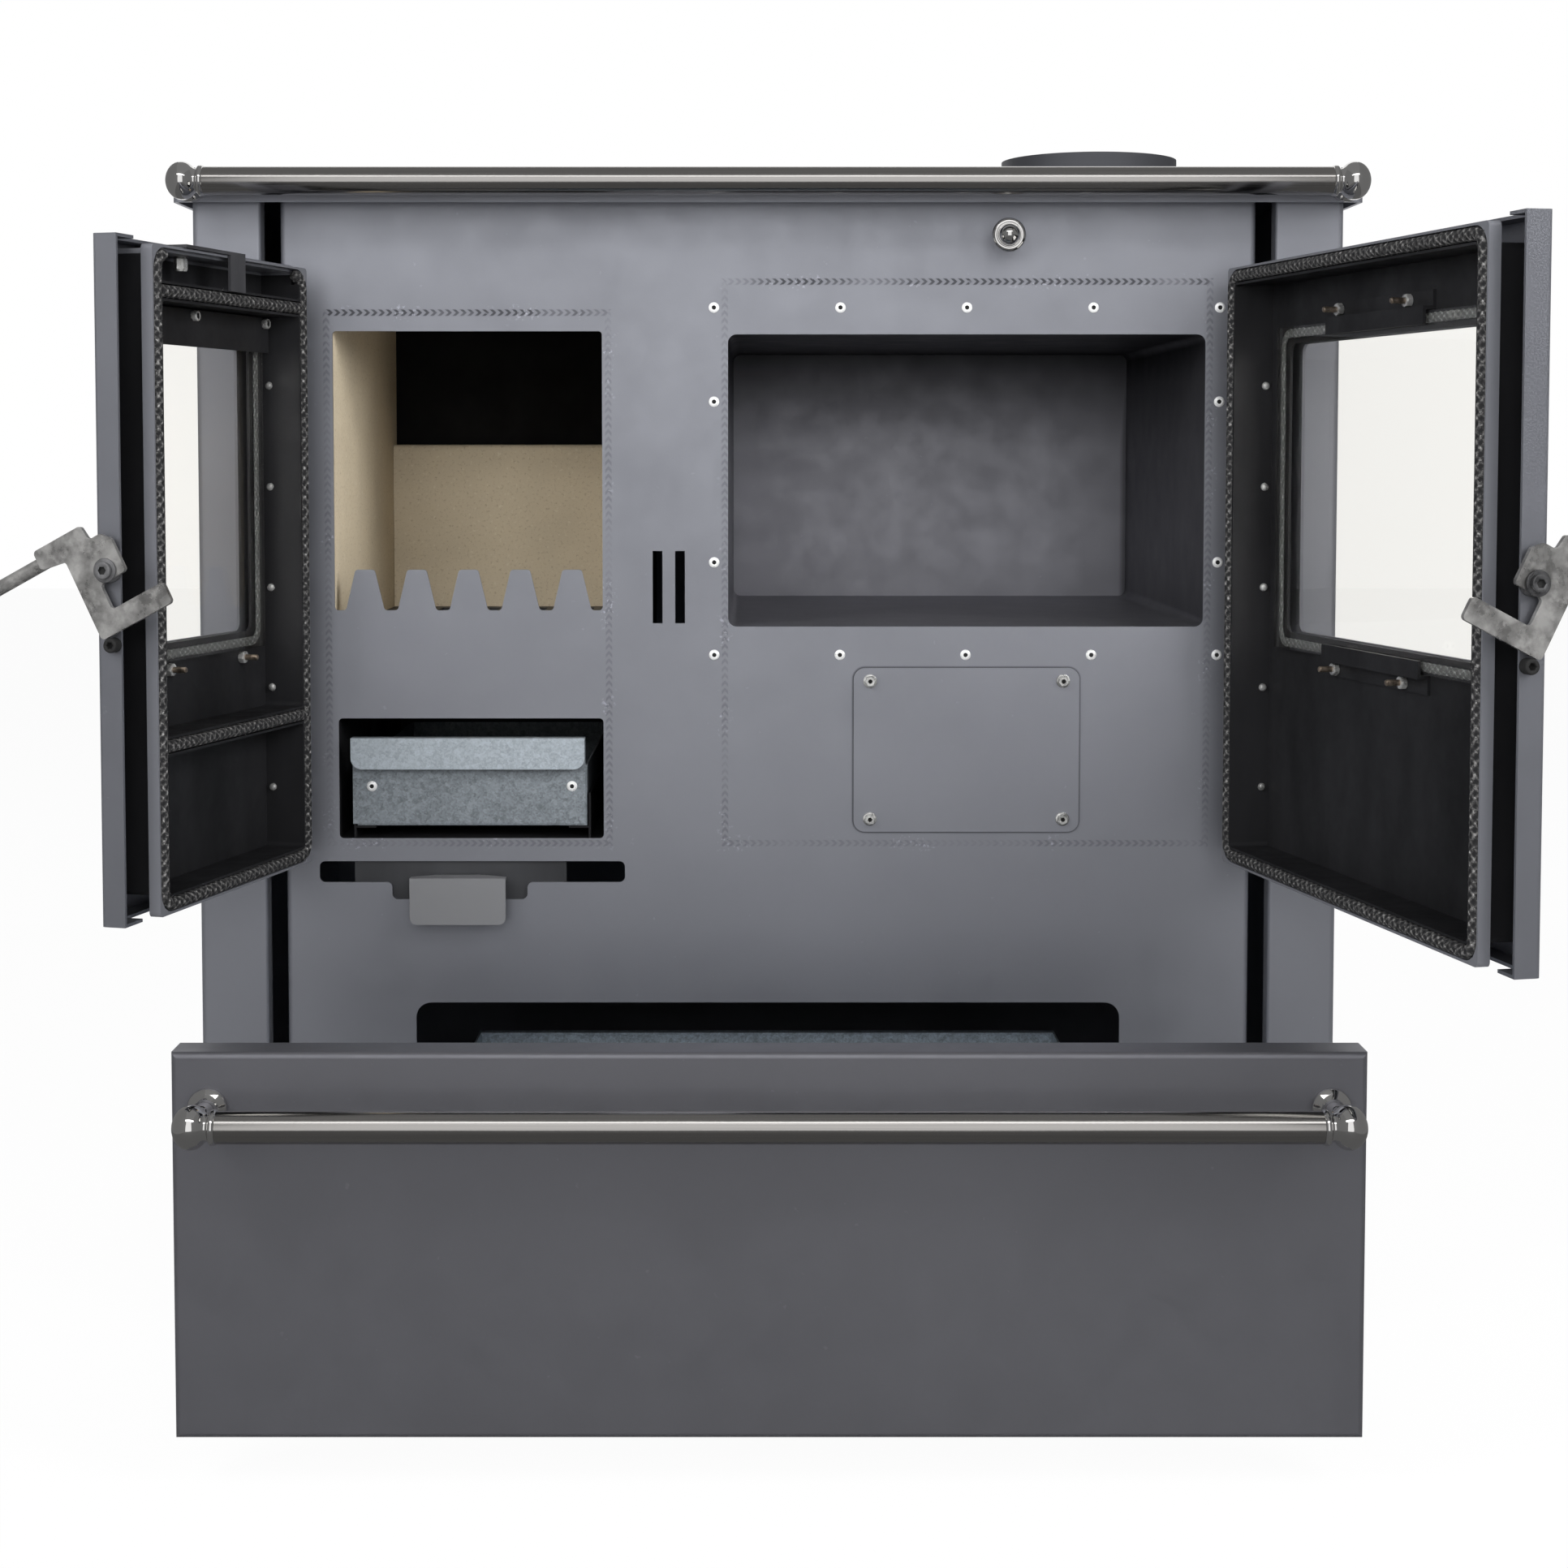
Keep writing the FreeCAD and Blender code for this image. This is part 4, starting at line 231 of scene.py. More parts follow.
class Shader:
    """A principled material with helpers for the textures that feed it."""

    def __init__(self, name, colour, metal=0.0, rough=0.5, **sockets):
        self.material = bpy.data.materials.new(name)
        self.material.use_nodes = True
        self.tree = self.material.node_tree
        self.shader = self.tree.nodes["Principled BSDF"]
        self.put("Base Color", (*colour, 1))
        self.put("Metallic", metal)
        self.put("Roughness", rough)
        for socket, value in sockets.items():
            self.put(socket.replace("_", " "), value)
        self.place = self.node("TexCoord").outputs["Object"]

    def put(self, socket, value):
        self.shader.inputs[socket].default_value = value

    def node(self, kind, **settings):
        made = self.tree.nodes.new("ShaderNode" + kind)
        for key, value in settings.items():
            setattr(made, key, value)
        return made

    def link(self, source, target):
        if isinstance(source, (int, float, tuple)):
            target.default_value = source
        else:
            self.tree.links.new(source, target)

    def math(self, operation, *values):
        made = self.node("Math", operation=operation)
        for i, value in enumerate(values):
            self.link(value, made.inputs[i])
        return made.outputs[0]

    def axes(self, place=None):
        """The three coordinates of a place."""
        made = self.node("SeparateXYZ")
        self.link(place or self.place, made.inputs[0])
        return made.outputs["X"], made.outputs["Y"], made.outputs["Z"]

    def stretch(self, scale):
        made = self.node("Mapping")
        made.inputs["Scale"].default_value = scale
        self.link(self.place, made.inputs["Vector"])
        return made.outputs[0]

    def within(self, matrix):
        """The place in the own frame of a door."""
        made = self.node("Mapping", vector_type="TEXTURE")
        made.inputs["Location"].default_value = matrix.translation
        made.inputs["Rotation"].default_value = matrix.to_euler()
        self.link(self.place, made.inputs["Vector"])
        return made.outputs[0]

    def noise(self, scale, detail=3.0, rough=0.55, place=None):
        made = self.node("TexNoise")
        self.link(place or self.place, made.inputs["Vector"])
        made.inputs["Scale"].default_value = scale
        made.inputs["Detail"].default_value = detail
        made.inputs["Roughness"].default_value = rough
        return made.outputs["Fac"]

    def cells(self, scale):
        """A random grey per cell."""
        made = self.node("TexVoronoi")
        self.link(self.place, made.inputs["Vector"])
        made.inputs["Scale"].default_value = scale
        split = self.node("SeparateColor")
        self.link(made.outputs["Color"], split.inputs[0])
        return split.outputs[0]

    def ramp(self, value, low, high, start=0.0, stop=1.0):
        """Maps value from start..stop to low..high, clamped."""
        made = self.node("MapRange")
        self.link(value, made.inputs["Value"])
        sockets = ("From Min", "From Max", "To Min", "To Max")
        for socket, number in zip(sockets, (start, stop, low, high)):
            made.inputs[socket].default_value = number
        return made.outputs["Result"]

    def mix(self, factor, first, second):
        made = self.node("Mix", data_type="RGBA")
        self.link(factor, made.inputs["Factor"])
        colours = [s for s in made.inputs if s.type == "RGBA"]
        for value, socket in zip((first, second), colours):
            self.link((*value, 1) if isinstance(value, tuple) else value, socket)
        return [s for s in made.outputs if s.type == "RGBA"][0]

    def colour(self, source):
        self.link(source, self.shader.inputs["Base Color"])

    def rough(self, source):
        self.link(source, self.shader.inputs["Roughness"])

    def bump(self, height, strength, distance):
        made = self.node("Bump")
        made.inputs["Strength"].default_value = strength
        made.inputs["Distance"].default_value = distance
        self.link(height, made.inputs["Height"])
        self.link(made.outputs[0], self.shader.inputs["Normal"])

    def outside(self, place, box):
        """How far a place lies outside an upright rectangle, across and upward, negative inside."""
        x, _, z = self.axes(place)
        sides = []
        for value, low, high in zip((x, z), *box):
            away = self.math("ABSOLUTE", self.math("SUBTRACT", value, (low + high) / 2))
            sides.append(self.math("SUBTRACT", away, (high - low) / 2))
        return sides


def tinted(colour, factor):
    return tuple(min(1.0, c * factor) for c in colour)


def coated(s, colour, rough):
    """The tone and roughness of satin powder coat, with faint clouds and a few specks of dust."""
    cloud = s.noise(5, 4)
    base = s.mix(s.ramp(cloud, 0, 1, 0.3, 0.7), tinted(colour, 0.95), tinted(colour, 1.05))
    specks = s.ramp(s.noise(160, 2), 0, 0.3, 0.75, 0.8)
    roughness = s.ramp(s.noise(40, 3), rough - 0.04, rough + 0.05, 0.3, 0.7)
    return s.mix(specks, base, tinted(colour, 1.5)), roughness


def powder_coat(name, colour, rough=COAT_ROUGH, metal=COAT_METAL, marks=(), cover=None, shade_corner=None):
    """Satin powder coat, with the prints of rope seals, and where asked a painted shadow round a cover
    and painted shade in the oven.
    """
    s = Shader(name, colour, metal=metal, rough=rough)
    base, roughness = coated(s, colour, rough)
    for box in marks:
        mask, dust = seal_print(s, box)
        base = s.mix(mask, base, tinted(colour, 0.36))
        base = s.mix(dust, base, tinted(colour, 2.2))
        roughness = s.math("MAXIMUM", roughness, s.math("MULTIPLY", mask, 0.7))
    if cover:
        # Painted shadow: a dark band just outside the cover's edge, where the gap shades the panel
        cover_shadow = s.ramp(rounded(s, cover), 0.85, 0, 0, COVER_SHADOW_WIDTH)
        base = s.mix(cover_shadow, base, tinted(colour, 0.12))
    if shade_corner:
        # Painted shade: the oven's coat darkened under its roof and on its right wall
        base = s.mix(oven_painted_shade(s, shade_corner), base, tinted(colour, 0.08))
    s.colour(base)
    s.rough(roughness)
    s.bump(s.noise(1500, 2), 0.09, 0.0004)
    return s.material


def oven_painted_shade(s, corner):
    """Painted shade in the oven: darkest under its roof and on its right wall."""
    x, _, z = s.axes()
    right, top = corner
    roof = s.ramp(z, 0, 0.97, top - ROOF_SHADE_DEPTH, top)
    wall = s.ramp(x, 0, 0.6, right - 7 * MM, right - 3 * MM)
    return s.math("MAXIMUM", roof, wall)


def rounded(s, box):
    """The distance outside an upright rectangle with round corners."""
    sides = [s.math("MAXIMUM", s.math("ADD", side, COVER_BEND), 0.0) for side in s.outside(None, box)]
    squares = [s.math("MULTIPLY", side, side) for side in sides]
    return s.math("SUBTRACT", s.math("SQRT", s.math("ADD", *squares)), COVER_BEND)


def seal_print(s, box):
    """The braided print that a rope seal has left along a rectangle, and the dust beside it."""
    x, _, z = s.axes()
    across, upward = s.outside(None, box)
    edge = s.math("MAXIMUM", across, upward)
    flat = s.math("GREATER_THAN", upward, across)
    run = s.math("ADD", s.math("MULTIPLY", x, flat),
                 s.math("MULTIPLY", z, s.math("SUBTRACT", 1.0, flat)))
    turns = 2 * math.pi / PRINT_PERIOD
    away = s.math("ABSOLUTE", edge)
    lean = s.math("ADD", run, s.math("MULTIPLY", away, 1.1))
    chevron = s.math("SINE", s.math("MULTIPLY", lean, turns))
    band = s.ramp(away, 1, 0, 1.9 * MM, 2.6 * MM)
    worn = s.ramp(s.noise(13, 3), 0.25, 1, 0.4, 0.56)
    weave = s.ramp(chevron, 0.1, 1, -0.3, 0.5)
    top = s.math("MULTIPLY", flat, s.math("GREATER_THAN", z, box[1][1] - 40 * MM))
    strength = s.math("MULTIPLY", weave, s.ramp(top, 0.4, 1))
    mask = s.math("MULTIPLY", s.math("MULTIPLY", band, worn), strength)
    fleck = s.ramp(s.noise(420, 2), 0, 1, 0.6, 0.68)
    wide = s.ramp(away, 1, 0, 3.0 * MM, 6.5 * MM)
    patch = s.ramp(s.noise(26, 2), 0, 0.5, 0.5, 0.62)
    dust = s.math("MULTIPLY", s.math("MULTIPLY", wide, fleck), patch)
    return s.math("MULTIPLY", mask, 0.95), dust


def blacked(s, colour, rough):
    """The tone and roughness of heat-proof black paint with handling smears."""
    smear = s.noise(14, 4, 0.6, s.stretch((1, 1, 0.3)))
    base = s.mix(s.ramp(smear, 0, 1, 0.35, 0.7), tinted(colour, 0.75), tinted(colour, 1.6))
    return base, s.ramp(s.noise(50, 3), rough - 0.06, rough + 0.1, 0.3, 0.7)


def sprayed(s):
    """The fine texture of sprayed paint."""
    s.bump(s.noise(1300, 2), 0.08, 0.0004)


def black_steel(name, colour=BLACK, rough=PAINT_ROUGH):
    """Heat-proof black paint on sheet."""
    s = Shader(name, colour, rough=rough, Specular_IOR_Level=DULL)
    base, roughness = blacked(s, colour, rough)
    s.colour(base)
    s.rough(roughness)
    sprayed(s)
    return s.material


def door_frame_paint(name, matrix, box):
    """Black paint inside a door's rope line and, on the rim outside it, the cabinet's coat darkened to a
    third as painted shade.
    """
    s = Shader(name, BLACK, rough=PAINT_ROUGH, Specular_IOR_Level=DULL)
    inner, inner_rough = blacked(s, BLACK, PAINT_ROUGH)
    # Painted shade: the rim takes the cabinet's coat at a third of its tone
    outer, outer_rough = coated(s, tinted(COAT, 0.33), COAT_ROUGH)
    across, upward = s.outside(s.within(matrix), box)
    rim = s.math("GREATER_THAN", s.math("MAXIMUM", across, upward), 1.0 * MM)
    s.colour(s.mix(rim, inner, outer))
    s.rough(s.math("ADD", s.math("MULTIPLY", rim, outer_rough),
                   s.math("MULTIPLY", s.math("SUBTRACT", 1.0, rim), inner_rough)))
    sprayed(s)
    return s.material


def air_slide_paint(name, front):
    """Grey coat on the tab ahead of the panel, dark paint on the shutter behind it."""
    tone = (0.17, 0.172, 0.18)
    s = Shader(name, tone, rough=0.4)
    grey, grey_rough = coated(s, tone, 0.4)
    dark, _ = blacked(s, (0.03, 0.031, 0.034), PAINT_ROUGH)
    _, y, _ = s.axes()
    s.colour(s.mix(s.math("GREATER_THAN", y, front), grey, dark))
    s.rough(grey_rough)
    sprayed(s)
    return s.material


def cast_iron(name):
    """Ground and oiled cast iron with a fine sand grain."""
    colour = (0.055, 0.055, 0.057)
    s = Shader(name, colour, metal=0.35, rough=0.5)
    s.colour(s.mix(s.ramp(s.noise(30, 5), 0, 1, 0.3, 0.7), tinted(colour, 0.75), tinted(colour, 1.4)))
    s.rough(s.ramp(s.noise(90, 4), 0.42, 0.62, 0.3, 0.7))
    s.bump(s.noise(800, 4, 0.7), 0.22, 0.0006)
    return s.material


def brushed_bar(name):
    """Polished stainless tube, drawn along its length."""
    colour = (0.46, 0.445, 0.43)
    s = Shader(name, colour, metal=1.0, rough=0.16)
    streak = s.noise(1.0, 2, 0.5, s.stretch((6, 1400, 1400)))
    s.rough(s.ramp(streak, 0.1, 0.22, 0.3, 0.7))
    s.colour(s.mix(s.ramp(streak, 0, 1, 0.3, 0.7), tinted(colour, 0.92), tinted(colour, 1.06)))
    s.bump(streak, 0.03, 0.0002)
    return s.material


def chrome(name):
    """Bright plating with a trace of finger haze."""
    s = Shader(name, (0.76, 0.75, 0.74), metal=1.0, rough=0.07)
    s.rough(s.ramp(s.noise(60, 3), 0.04, 0.12, 0.4, 0.75))
    s.bump(s.noise(220, 2), 0.02, 0.0003)
    return s.material


def zinc(name, colour=(0.27, 0.266, 0.26), rough=0.34, metal=0.7):
    """Zinc plate with the blotchy passivation of small pressed parts."""
    s = Shader(name, colour, metal=metal, rough=rough)
    blotch = s.noise(55, 5, 0.6)
    patch = s.mix(s.ramp(blotch, 0, 1, 0.36, 0.64), tinted(colour, 0.5), tinted(colour, 1.5))
    haze = s.ramp(s.noise(120, 4), 0, 0.6, 0.52, 0.68)
    s.colour(s.mix(haze, patch, tinted(colour, 2.0)))
    s.rough(s.ramp(blotch, rough - 0.14, rough + 0.12, 0.35, 0.65))
    s.bump(s.noise(500, 3), 0.06, 0.0003)
    return s.material


def stud_steel(name):
    """Yellow-passivated thread."""
    colour = (0.42, 0.34, 0.27)
    s = Shader(name, colour, metal=0.9, rough=0.38)
    s.colour(s.mix(s.ramp(s.noise(400, 3), 0, 1, 0.35, 0.65), tinted(colour, 0.5), tinted(colour, 1.4)))
    s.bump(s.noise(900, 2), 0.08, 0.0002)
    return s.material


def galvanised(name, colour, lit_colour=None, front=None):
    """Hot-dip galvanised sheet with its fine spangle; ahead of a given depth a lighter copy of it is
    painted light.
    """
    s = Shader(name, colour, metal=0.35, rough=0.45)
    coarse = s.math("MULTIPLY", s.cells(260), 0.45)
    spangle = s.math("ADD", coarse, s.math("MULTIPLY", s.cells(820), 0.55))
    tone = s.mix(spangle, tinted(colour, 0.6), tinted(colour, 1.3))
    if lit_colour:
        _, y, _ = s.axes()
        # Painted light: a lighter copy of the galvanised ahead of the given depth
        lit_tone = s.mix(spangle, tinted(lit_colour, 0.75), tinted(lit_colour, 1.2))
        tone = s.mix(s.math("LESS_THAN", y, front), tone, lit_tone)
    s.colour(tone)
    s.rough(s.ramp(spangle, 0.36, 0.58))
    s.bump(s.noise(260, 2), 0.05, 0.0004)
    return s.material


def aluminium(name):
    """Bright blind-rivet aluminium."""
    s = Shader(name, (0.85, 0.85, 0.85), metal=0.35, rough=0.32)
    s.rough(s.ramp(s.noise(700, 2), 0.25, 0.42, 0.3, 0.7))
    s.bump(s.noise(900, 2), 0.06, 0.0002)
    return s.material


def fireclay(name):
    """Pressed fireclay: cream with darker and lighter grains and a rough face."""
    colour = (0.71, 0.615, 0.46)
    s = Shader(name, colour, rough=0.92)
    tone = s.mix(s.ramp(s.noise(9, 3), 0, 1, 0.3, 0.7), tinted(colour, 0.9), tinted(colour, 1.08))
    grain = s.noise(420, 3, 0.7)
    tone = s.mix(s.ramp(grain, 0, 0.55, 0.56, 0.7), tone, (0.36, 0.27, 0.16))
    tone = s.mix(s.ramp(s.noise(300, 2), 0, 0.5, 0.62, 0.72), tone, (0.82, 0.75, 0.6))
    s.colour(tone)
    s.bump(grain, 0.35, 0.0008)
    return s.material


def knitted(name, dark, light):
    """Knitted glass fibre: dark yarn and pale strands, lighter on the strands' crowns and dark in the
    gaps as painted light and shade, salt and pepper close up.
    """
    s = Shader(name, light, rough=0.85)
    yarn_and_shade = s.node("Attribute", attribute_name="yarn_and_shade").outputs["Fac"]
    hair = s.noise(1700, 3, 0.7)
    fleck = s.ramp(s.noise(560, 2, 0.6), 0.1, 1.0, 0.43, 0.66)
    strand = s.mix(s.ramp(hair, 0, 1, 0.35, 0.65), tinted(light, 0.55), light)
    s.colour(s.mix(s.math("MULTIPLY", yarn_and_shade, fleck), dark, strand))
    s.bump(hair, 0.5, 0.0006)
    return s.material


def pane(name):
    """Clear fire glass with the warm cast of ceramic glass."""
    s = Shader(name, (0.99, 0.98, 0.945), rough=0.02, Transmission_Weight=1.0, IOR=1.25)
    s.rough(s.ramp(s.noise(30, 3), 0.005, 0.03, 0.5, 0.8))
    return s.material


def dark_hole(name):
    """The shadowed inside of sockets and rivet bores."""
    s = Shader(name, (0.012, 0.012, 0.012), rough=0.7)
    s.bump(s.noise(2000, 2), 0.1, 0.0002)
    return s.material


def floor_material():
    """A pale floor that reads as the white background but keeps the object's shadow."""
    s = Shader("floor", (0.93, 0.93, 0.93), rough=0.75)
    s.bump(s.noise(300, 2), 0.02, 0.0005)
    out = s.tree.nodes["Material Output"]
    glow = s.node("Emission")
    glow.inputs["Color"].default_value = WHITE
    mix = s.node("MixShader")
    s.link(s.math("MULTIPLY", seen_rays(s.tree), FLOOR_GLOW), mix.inputs[0])
    s.link(s.shader.outputs[0], mix.inputs[1])
    s.link(glow.outputs[0], mix.inputs[2])
    s.link(mix.outputs[0], out.inputs["Surface"])
    return s.material


# Places read from the frame


def door_matrix(joint):
    """From a door's own shut frame, about its hinge, to the rest pose."""
    x, y, _ = joint["pos_m"]
    turn = -math.radians(joint["range_deg"][0]) * joint["axis"][2]
    return Matrix.Translation((x, y, 0)) @ Matrix.Rotation(turn, 4, "Z")


FIRE = door_matrix(JOINTS["fire_door_hinge"])
OVEN = door_matrix(JOINTS["oven_door_hinge"])
DOORS = (("fire_door", FIRE, 1), ("oven_door", OVEN, -1))


def vertices(node, matrix=Matrix.Identity(4)):
    """A node's points as an array, taken back through a matrix."""
    back = np.array(matrix.inverted())
    mesh = NODES[node].data
    points = np.empty(len(mesh.vertices) * 3)
    mesh.vertices.foreach_get("co", points)
    return points.reshape(-1, 3) @ back[:3, :3].T + back[:3, 3]


def local_box(node, matrix=Matrix.Identity(4)):
    """The lowest and highest corners of a node, taken back through a matrix."""
    points = vertices(node, matrix)
    return Vector(points.min(0)), Vector(points.max(0))


def centre(low, high):
    return (low + high) / 2


def solids(node, matrix=Matrix.Identity(4)):
    """The lowest and highest corners of each separate solid in a node."""
    points = vertices(node, matrix)
    keys = {}
    same = [keys.setdefault(tuple(p), i) for i, p in enumerate(np.round(points, 6))]
    parent = list(range(len(points)))

    def root(i):
        while parent[i] != i:
            parent[i] = parent[parent[i]]
            i = parent[i]
        return i

    for face in NODES[node].data.polygons:
        corners = [root(same[i]) for i in face.vertices]
        for other in corners[1:]:
            parent[root(other)] = root(corners[0])
    groups = {}
    for i in range(len(points)):
        groups.setdefault(root(same[i]), []).append(i)
    return [(Vector(points[g].min(0)), Vector(points[g].max(0))) for g in groups.values()]


def add_piece(name, mesh, materials, body, replaced=()):
    """Links a mesh as a piece of the object, riding on a body."""
    made = bpy.data.objects.new(name, mesh)
    bpy.context.scene.collection.objects.link(made)
    for material in materials:
        mesh.materials.append(material)
    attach(made, body)
    if replaced:
        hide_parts(*replaced)
    return made


def ring_faces(i, j, sides):
    """The faces between two rings of points."""
    return [(i * sides + k, i * sides + (k + 1) % sides, j * sides + (k + 1) % sides, j * sides + k)
            for k in range(sides)]


def cap_face(i, sides):
    """The face that closes a ring of points."""
    return tuple(i * sides + k for k in range(sides))


# Rope seals


def distances(path):
    """How far along a path each of its points lies."""
    return np.concatenate([[0], np.cumsum(np.linalg.norm(np.diff(path, axis=0), axis=1))])


def corner_run(low, high, inset, bend, closed):
    """Points along a rectangle with round corners inside a box; open along the top if not closed."""
    left, right = low.x + inset + bend, high.x - inset - bend
    foot, top = low.z + inset + bend, high.z - inset - bend
    y = (low.y + high.y) / 2
    points = []
    for x, z, turn in ((left, top, 90), (left, foot, 180), (right, foot, 270), (right, top, 0)):
        for i in range(ARC_STEPS + 1):
            angle = math.radians(turn + 90 * i / ARC_STEPS)
            points.append((x + bend * math.cos(angle), y, z + bend * math.sin(angle)))
    if closed:
        points.append(points[0])
    path = np.array(points)
    along = distances(path)
    at = np.linspace(0, along[-1], int(along[-1] / BRAID_STEP), endpoint=not closed)
    return np.stack([np.interp(at, along, path[:, i]) for i in range(3)], axis=1)


def straight_run(start, stop):
    """Points along a straight line."""
    count = int((stop - start).length / BRAID_STEP)
    return np.linspace(np.array(start), np.array(stop), count)


def braid_height(turn, along):
    """Height from 0 to 1 and yarn tone of a braided surface at an angle and a distance; the tone carries
    painted light and shade, lightest on the strands' crowns and dark in the gaps.
    """
    lean = 2 * math.pi * along / BRAID_PITCH
    first = np.cos(BRAID_STRANDS * turn + lean)
    second = np.cos(BRAID_STRANDS * turn - lean)
    swap = np.sin(BRAID_STRANDS * turn) * np.sin(lean)
    one = first * (0.7 + 0.3 * np.sign(swap))
    two = second * (0.7 - 0.3 * np.sign(swap))
    height = np.clip(np.maximum(one, two), -BRAID_DIP, 1)
    # Painted light and shade: the tone rises with the braid's height, dark in the gaps and lightest on
    # the crowns
    tone = np.where(one > two, 1.0, 0.55) * np.clip((height - 0.1) * 1.7, 0, 1)
    return (height + BRAID_DIP) / (1 + BRAID_DIP), tone


def rope(name, path, radii, matrix, body, closed, material, hairs, seed, replaced=()):
    """A braided rope on a path that lies in a door's plane; radii are along its normal and in plane."""
    count = len(path)
    ahead = np.roll(path, -1, axis=0) - np.roll(path, 1, axis=0)
    if not closed:
        ahead[0] = path[1] - path[0]
        ahead[-1] = path[-1] - path[-2]
    ahead /= np.linalg.norm(ahead, axis=1)[:, None]
    normal = np.tile(DOOR_NORMAL, (count, 1))
    beside = np.cross(ahead, normal)
    along = distances(path)
    if closed:
        whole = along[-1] + np.linalg.norm(path[0] - path[-1])
        along *= round(whole / BRAID_PITCH) * BRAID_PITCH / whole
    turn = np.arange(BRAID_SIDES) * 2 * math.pi / BRAID_SIDES
    height, tone = braid_height(turn[None, :], along[:, None])
    swell = 1 - BRAID_DEPTH + BRAID_DEPTH * height
    ring = (normal[:, None, :] * (np.sin(turn) * radii[0])[None, :, None]
            + beside[:, None, :] * (np.cos(turn) * radii[1])[None, :, None])
    points = (path[:, None, :] + ring * swell[:, :, None]).reshape(-1, 3)
    points, tone = list(map(tuple, points)), list(tone.reshape(-1))
    faces = []
    for i in range(count if closed else count - 1):
        faces += ring_faces(i, (i + 1) % count, BRAID_SIDES)
    if not closed:
        faces.append(cap_face(0, BRAID_SIDES)[::-1])
        faces.append(cap_face(count - 1, BRAID_SIDES))
    add_hairs(points, faces, tone, path, beside, radii[0], hairs, seed)
    mesh = bpy.data.meshes.new(name)
    mesh.from_pydata(points, [], faces)
    mesh.transform(matrix)
    layer = mesh.attributes.new("yarn_and_shade", "FLOAT", "POINT")
    layer.data.foreach_set("value", np.array(tone, np.float32))
    mesh.polygons.foreach_set("use_smooth", [True] * len(mesh.polygons))
    mesh.update()
    return add_piece(name, mesh, [MATERIALS[material]], body, replaced)


def add_hairs(points, faces, tone, path, beside, radius, count, seed):
    """Loose fibres that stand off the rope sideways, as thin three-sided spikes."""
    draw = random.Random(seed)
    for _ in range(count):
        i = draw.randrange(len(path))
        angle = draw.uniform(0.0, math.pi)
        out = beside[i] * math.cos(angle) + np.array(DOOR_NORMAL) * math.sin(angle)
        root = path[i] + out * (radius * HAIR_ROOT)
        lean = np.array([draw.uniform(-1, 1) for _ in range(3)])
        tip = root + (out + lean * HAIR_LEAN) * draw.uniform(*HAIR_LENGTH) * MM
        tip[1] = min(tip[1], path[i][1] + radius * HAIR_TOP)
        side = np.cross(tip - root, lean)
        side /= np.linalg.norm(side) + 1e-9
        up = np.cross(side, out)
        a, b, c, d = range(len(points), len(points) + 4)
        points += [tuple(root + side * HAIR_WIDTH), tuple(root - side * HAIR_WIDTH),
                   tuple(root + up * HAIR_WIDTH), tuple(tip)]
        tone += [1.0] * 4
        faces += [(a, b, d), (b, c, d), (c, a, d), (b, a, c)]


def seals():
    """Braided ropes in the door channels, cross ropes and the thin tapes round the panes."""
    for door, matrix, sign in DOORS:
        closed = sign < 0
        low, high = local_box(door + "_gasket", matrix)
        r = (high.y - low.y) / 2
        path = corner_run(low, high, r, ROPE_BEND, closed)
        rope(door + "_rope", path, (r, r), matrix, door, closed, "rope", hairs=170, seed=3,
             replaced=[door + "_gasket"])
        low, high = local_box(door + "_glass_seal", matrix)
        radii = (high.y - low.y) / 2, TAPE_HALF_WIDTH
        path = corner_run(low, high, TAPE_HALF_WIDTH, TAPE_BEND, True)
        rope(door + "_glass_tape", path, radii, matrix, door, True, "tape", hairs=20, seed=5,
             replaced=[door + "_glass_seal"])
    names = ("fire_door_low_cross_rope", "fire_door_top_cross_rope")
    spans = sorted(solids("fire_door_cross_ropes", FIRE), key=lambda box: box[0].z)
    for name, (low, high) in zip(names, spans):
        r = (high.z - low.z) / 2
        mid = centre(low, high)
        path = straight_run(Vector((low.x, mid.y, mid.z)), Vector((high.x, mid.y, mid.z)))
        rope(name, path, (r, r), FIRE, "fire_door", False, "rope", hairs=70, seed=9)
    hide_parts("fire_door_cross_ropes")


# Turned and hexagonal small parts


class Turnery:
    """One mesh gathered from turned shapes; a profile point is (radius, height)."""

    def __init__(self, sides=SMALL_SIDES):
        self.sides = sides
        self.points, self.faces, self.tones, self.smooth = [], [], [], []

    def add(self, profile, matrix, tones=(), hexagons=(), smooth=True):
        """tones gives a material number from a ring on; hexagons are the levels cut to six flats."""
        sides, base = self.sides, len(self.points)
        for level, (r, h) in enumerate(profile):
            for k in range(sides):
                angle = 2 * math.pi * k / sides
                reach = r
                if level in hexagons:
                    reach *= math.cos(math.pi / 6) / math.cos(angle % (math.pi / 3) - math.pi / 6)
                point = Vector((reach * math.cos(angle), reach * math.sin(angle), h))
                self.points.append(tuple(matrix @ point))
        last = len(profile) - 1
        rings = [(i, ring_faces(i, i + 1, sides)) for i in range(last)]
        rings.append((0, [cap_face(0, sides)[::-1]]))
        rings.append((last, [cap_face(last, sides)]))
        for ring, faces in rings:
            tone = max([number for start, number in tones if ring >= start], default=0)
            self.faces += [tuple(base + i for i in face) for face in faces]
            self.tones += [tone] * len(faces)
            self.smooth += [smooth and len(faces) > 1] * len(faces)

    def make(self, name, materials, body, replaced):
        """Adds the mesh to the object in place of the nodes it details."""
        mesh = bpy.data.meshes.new(name)
        mesh.from_pydata(self.points, [], self.faces)
        mesh.polygons.foreach_set("material_index", self.tones)
        mesh.polygons.foreach_set("use_smooth", self.smooth)
        mesh.update()
        add_piece(name, mesh, [MATERIALS[m] for m in materials], body, replaced)


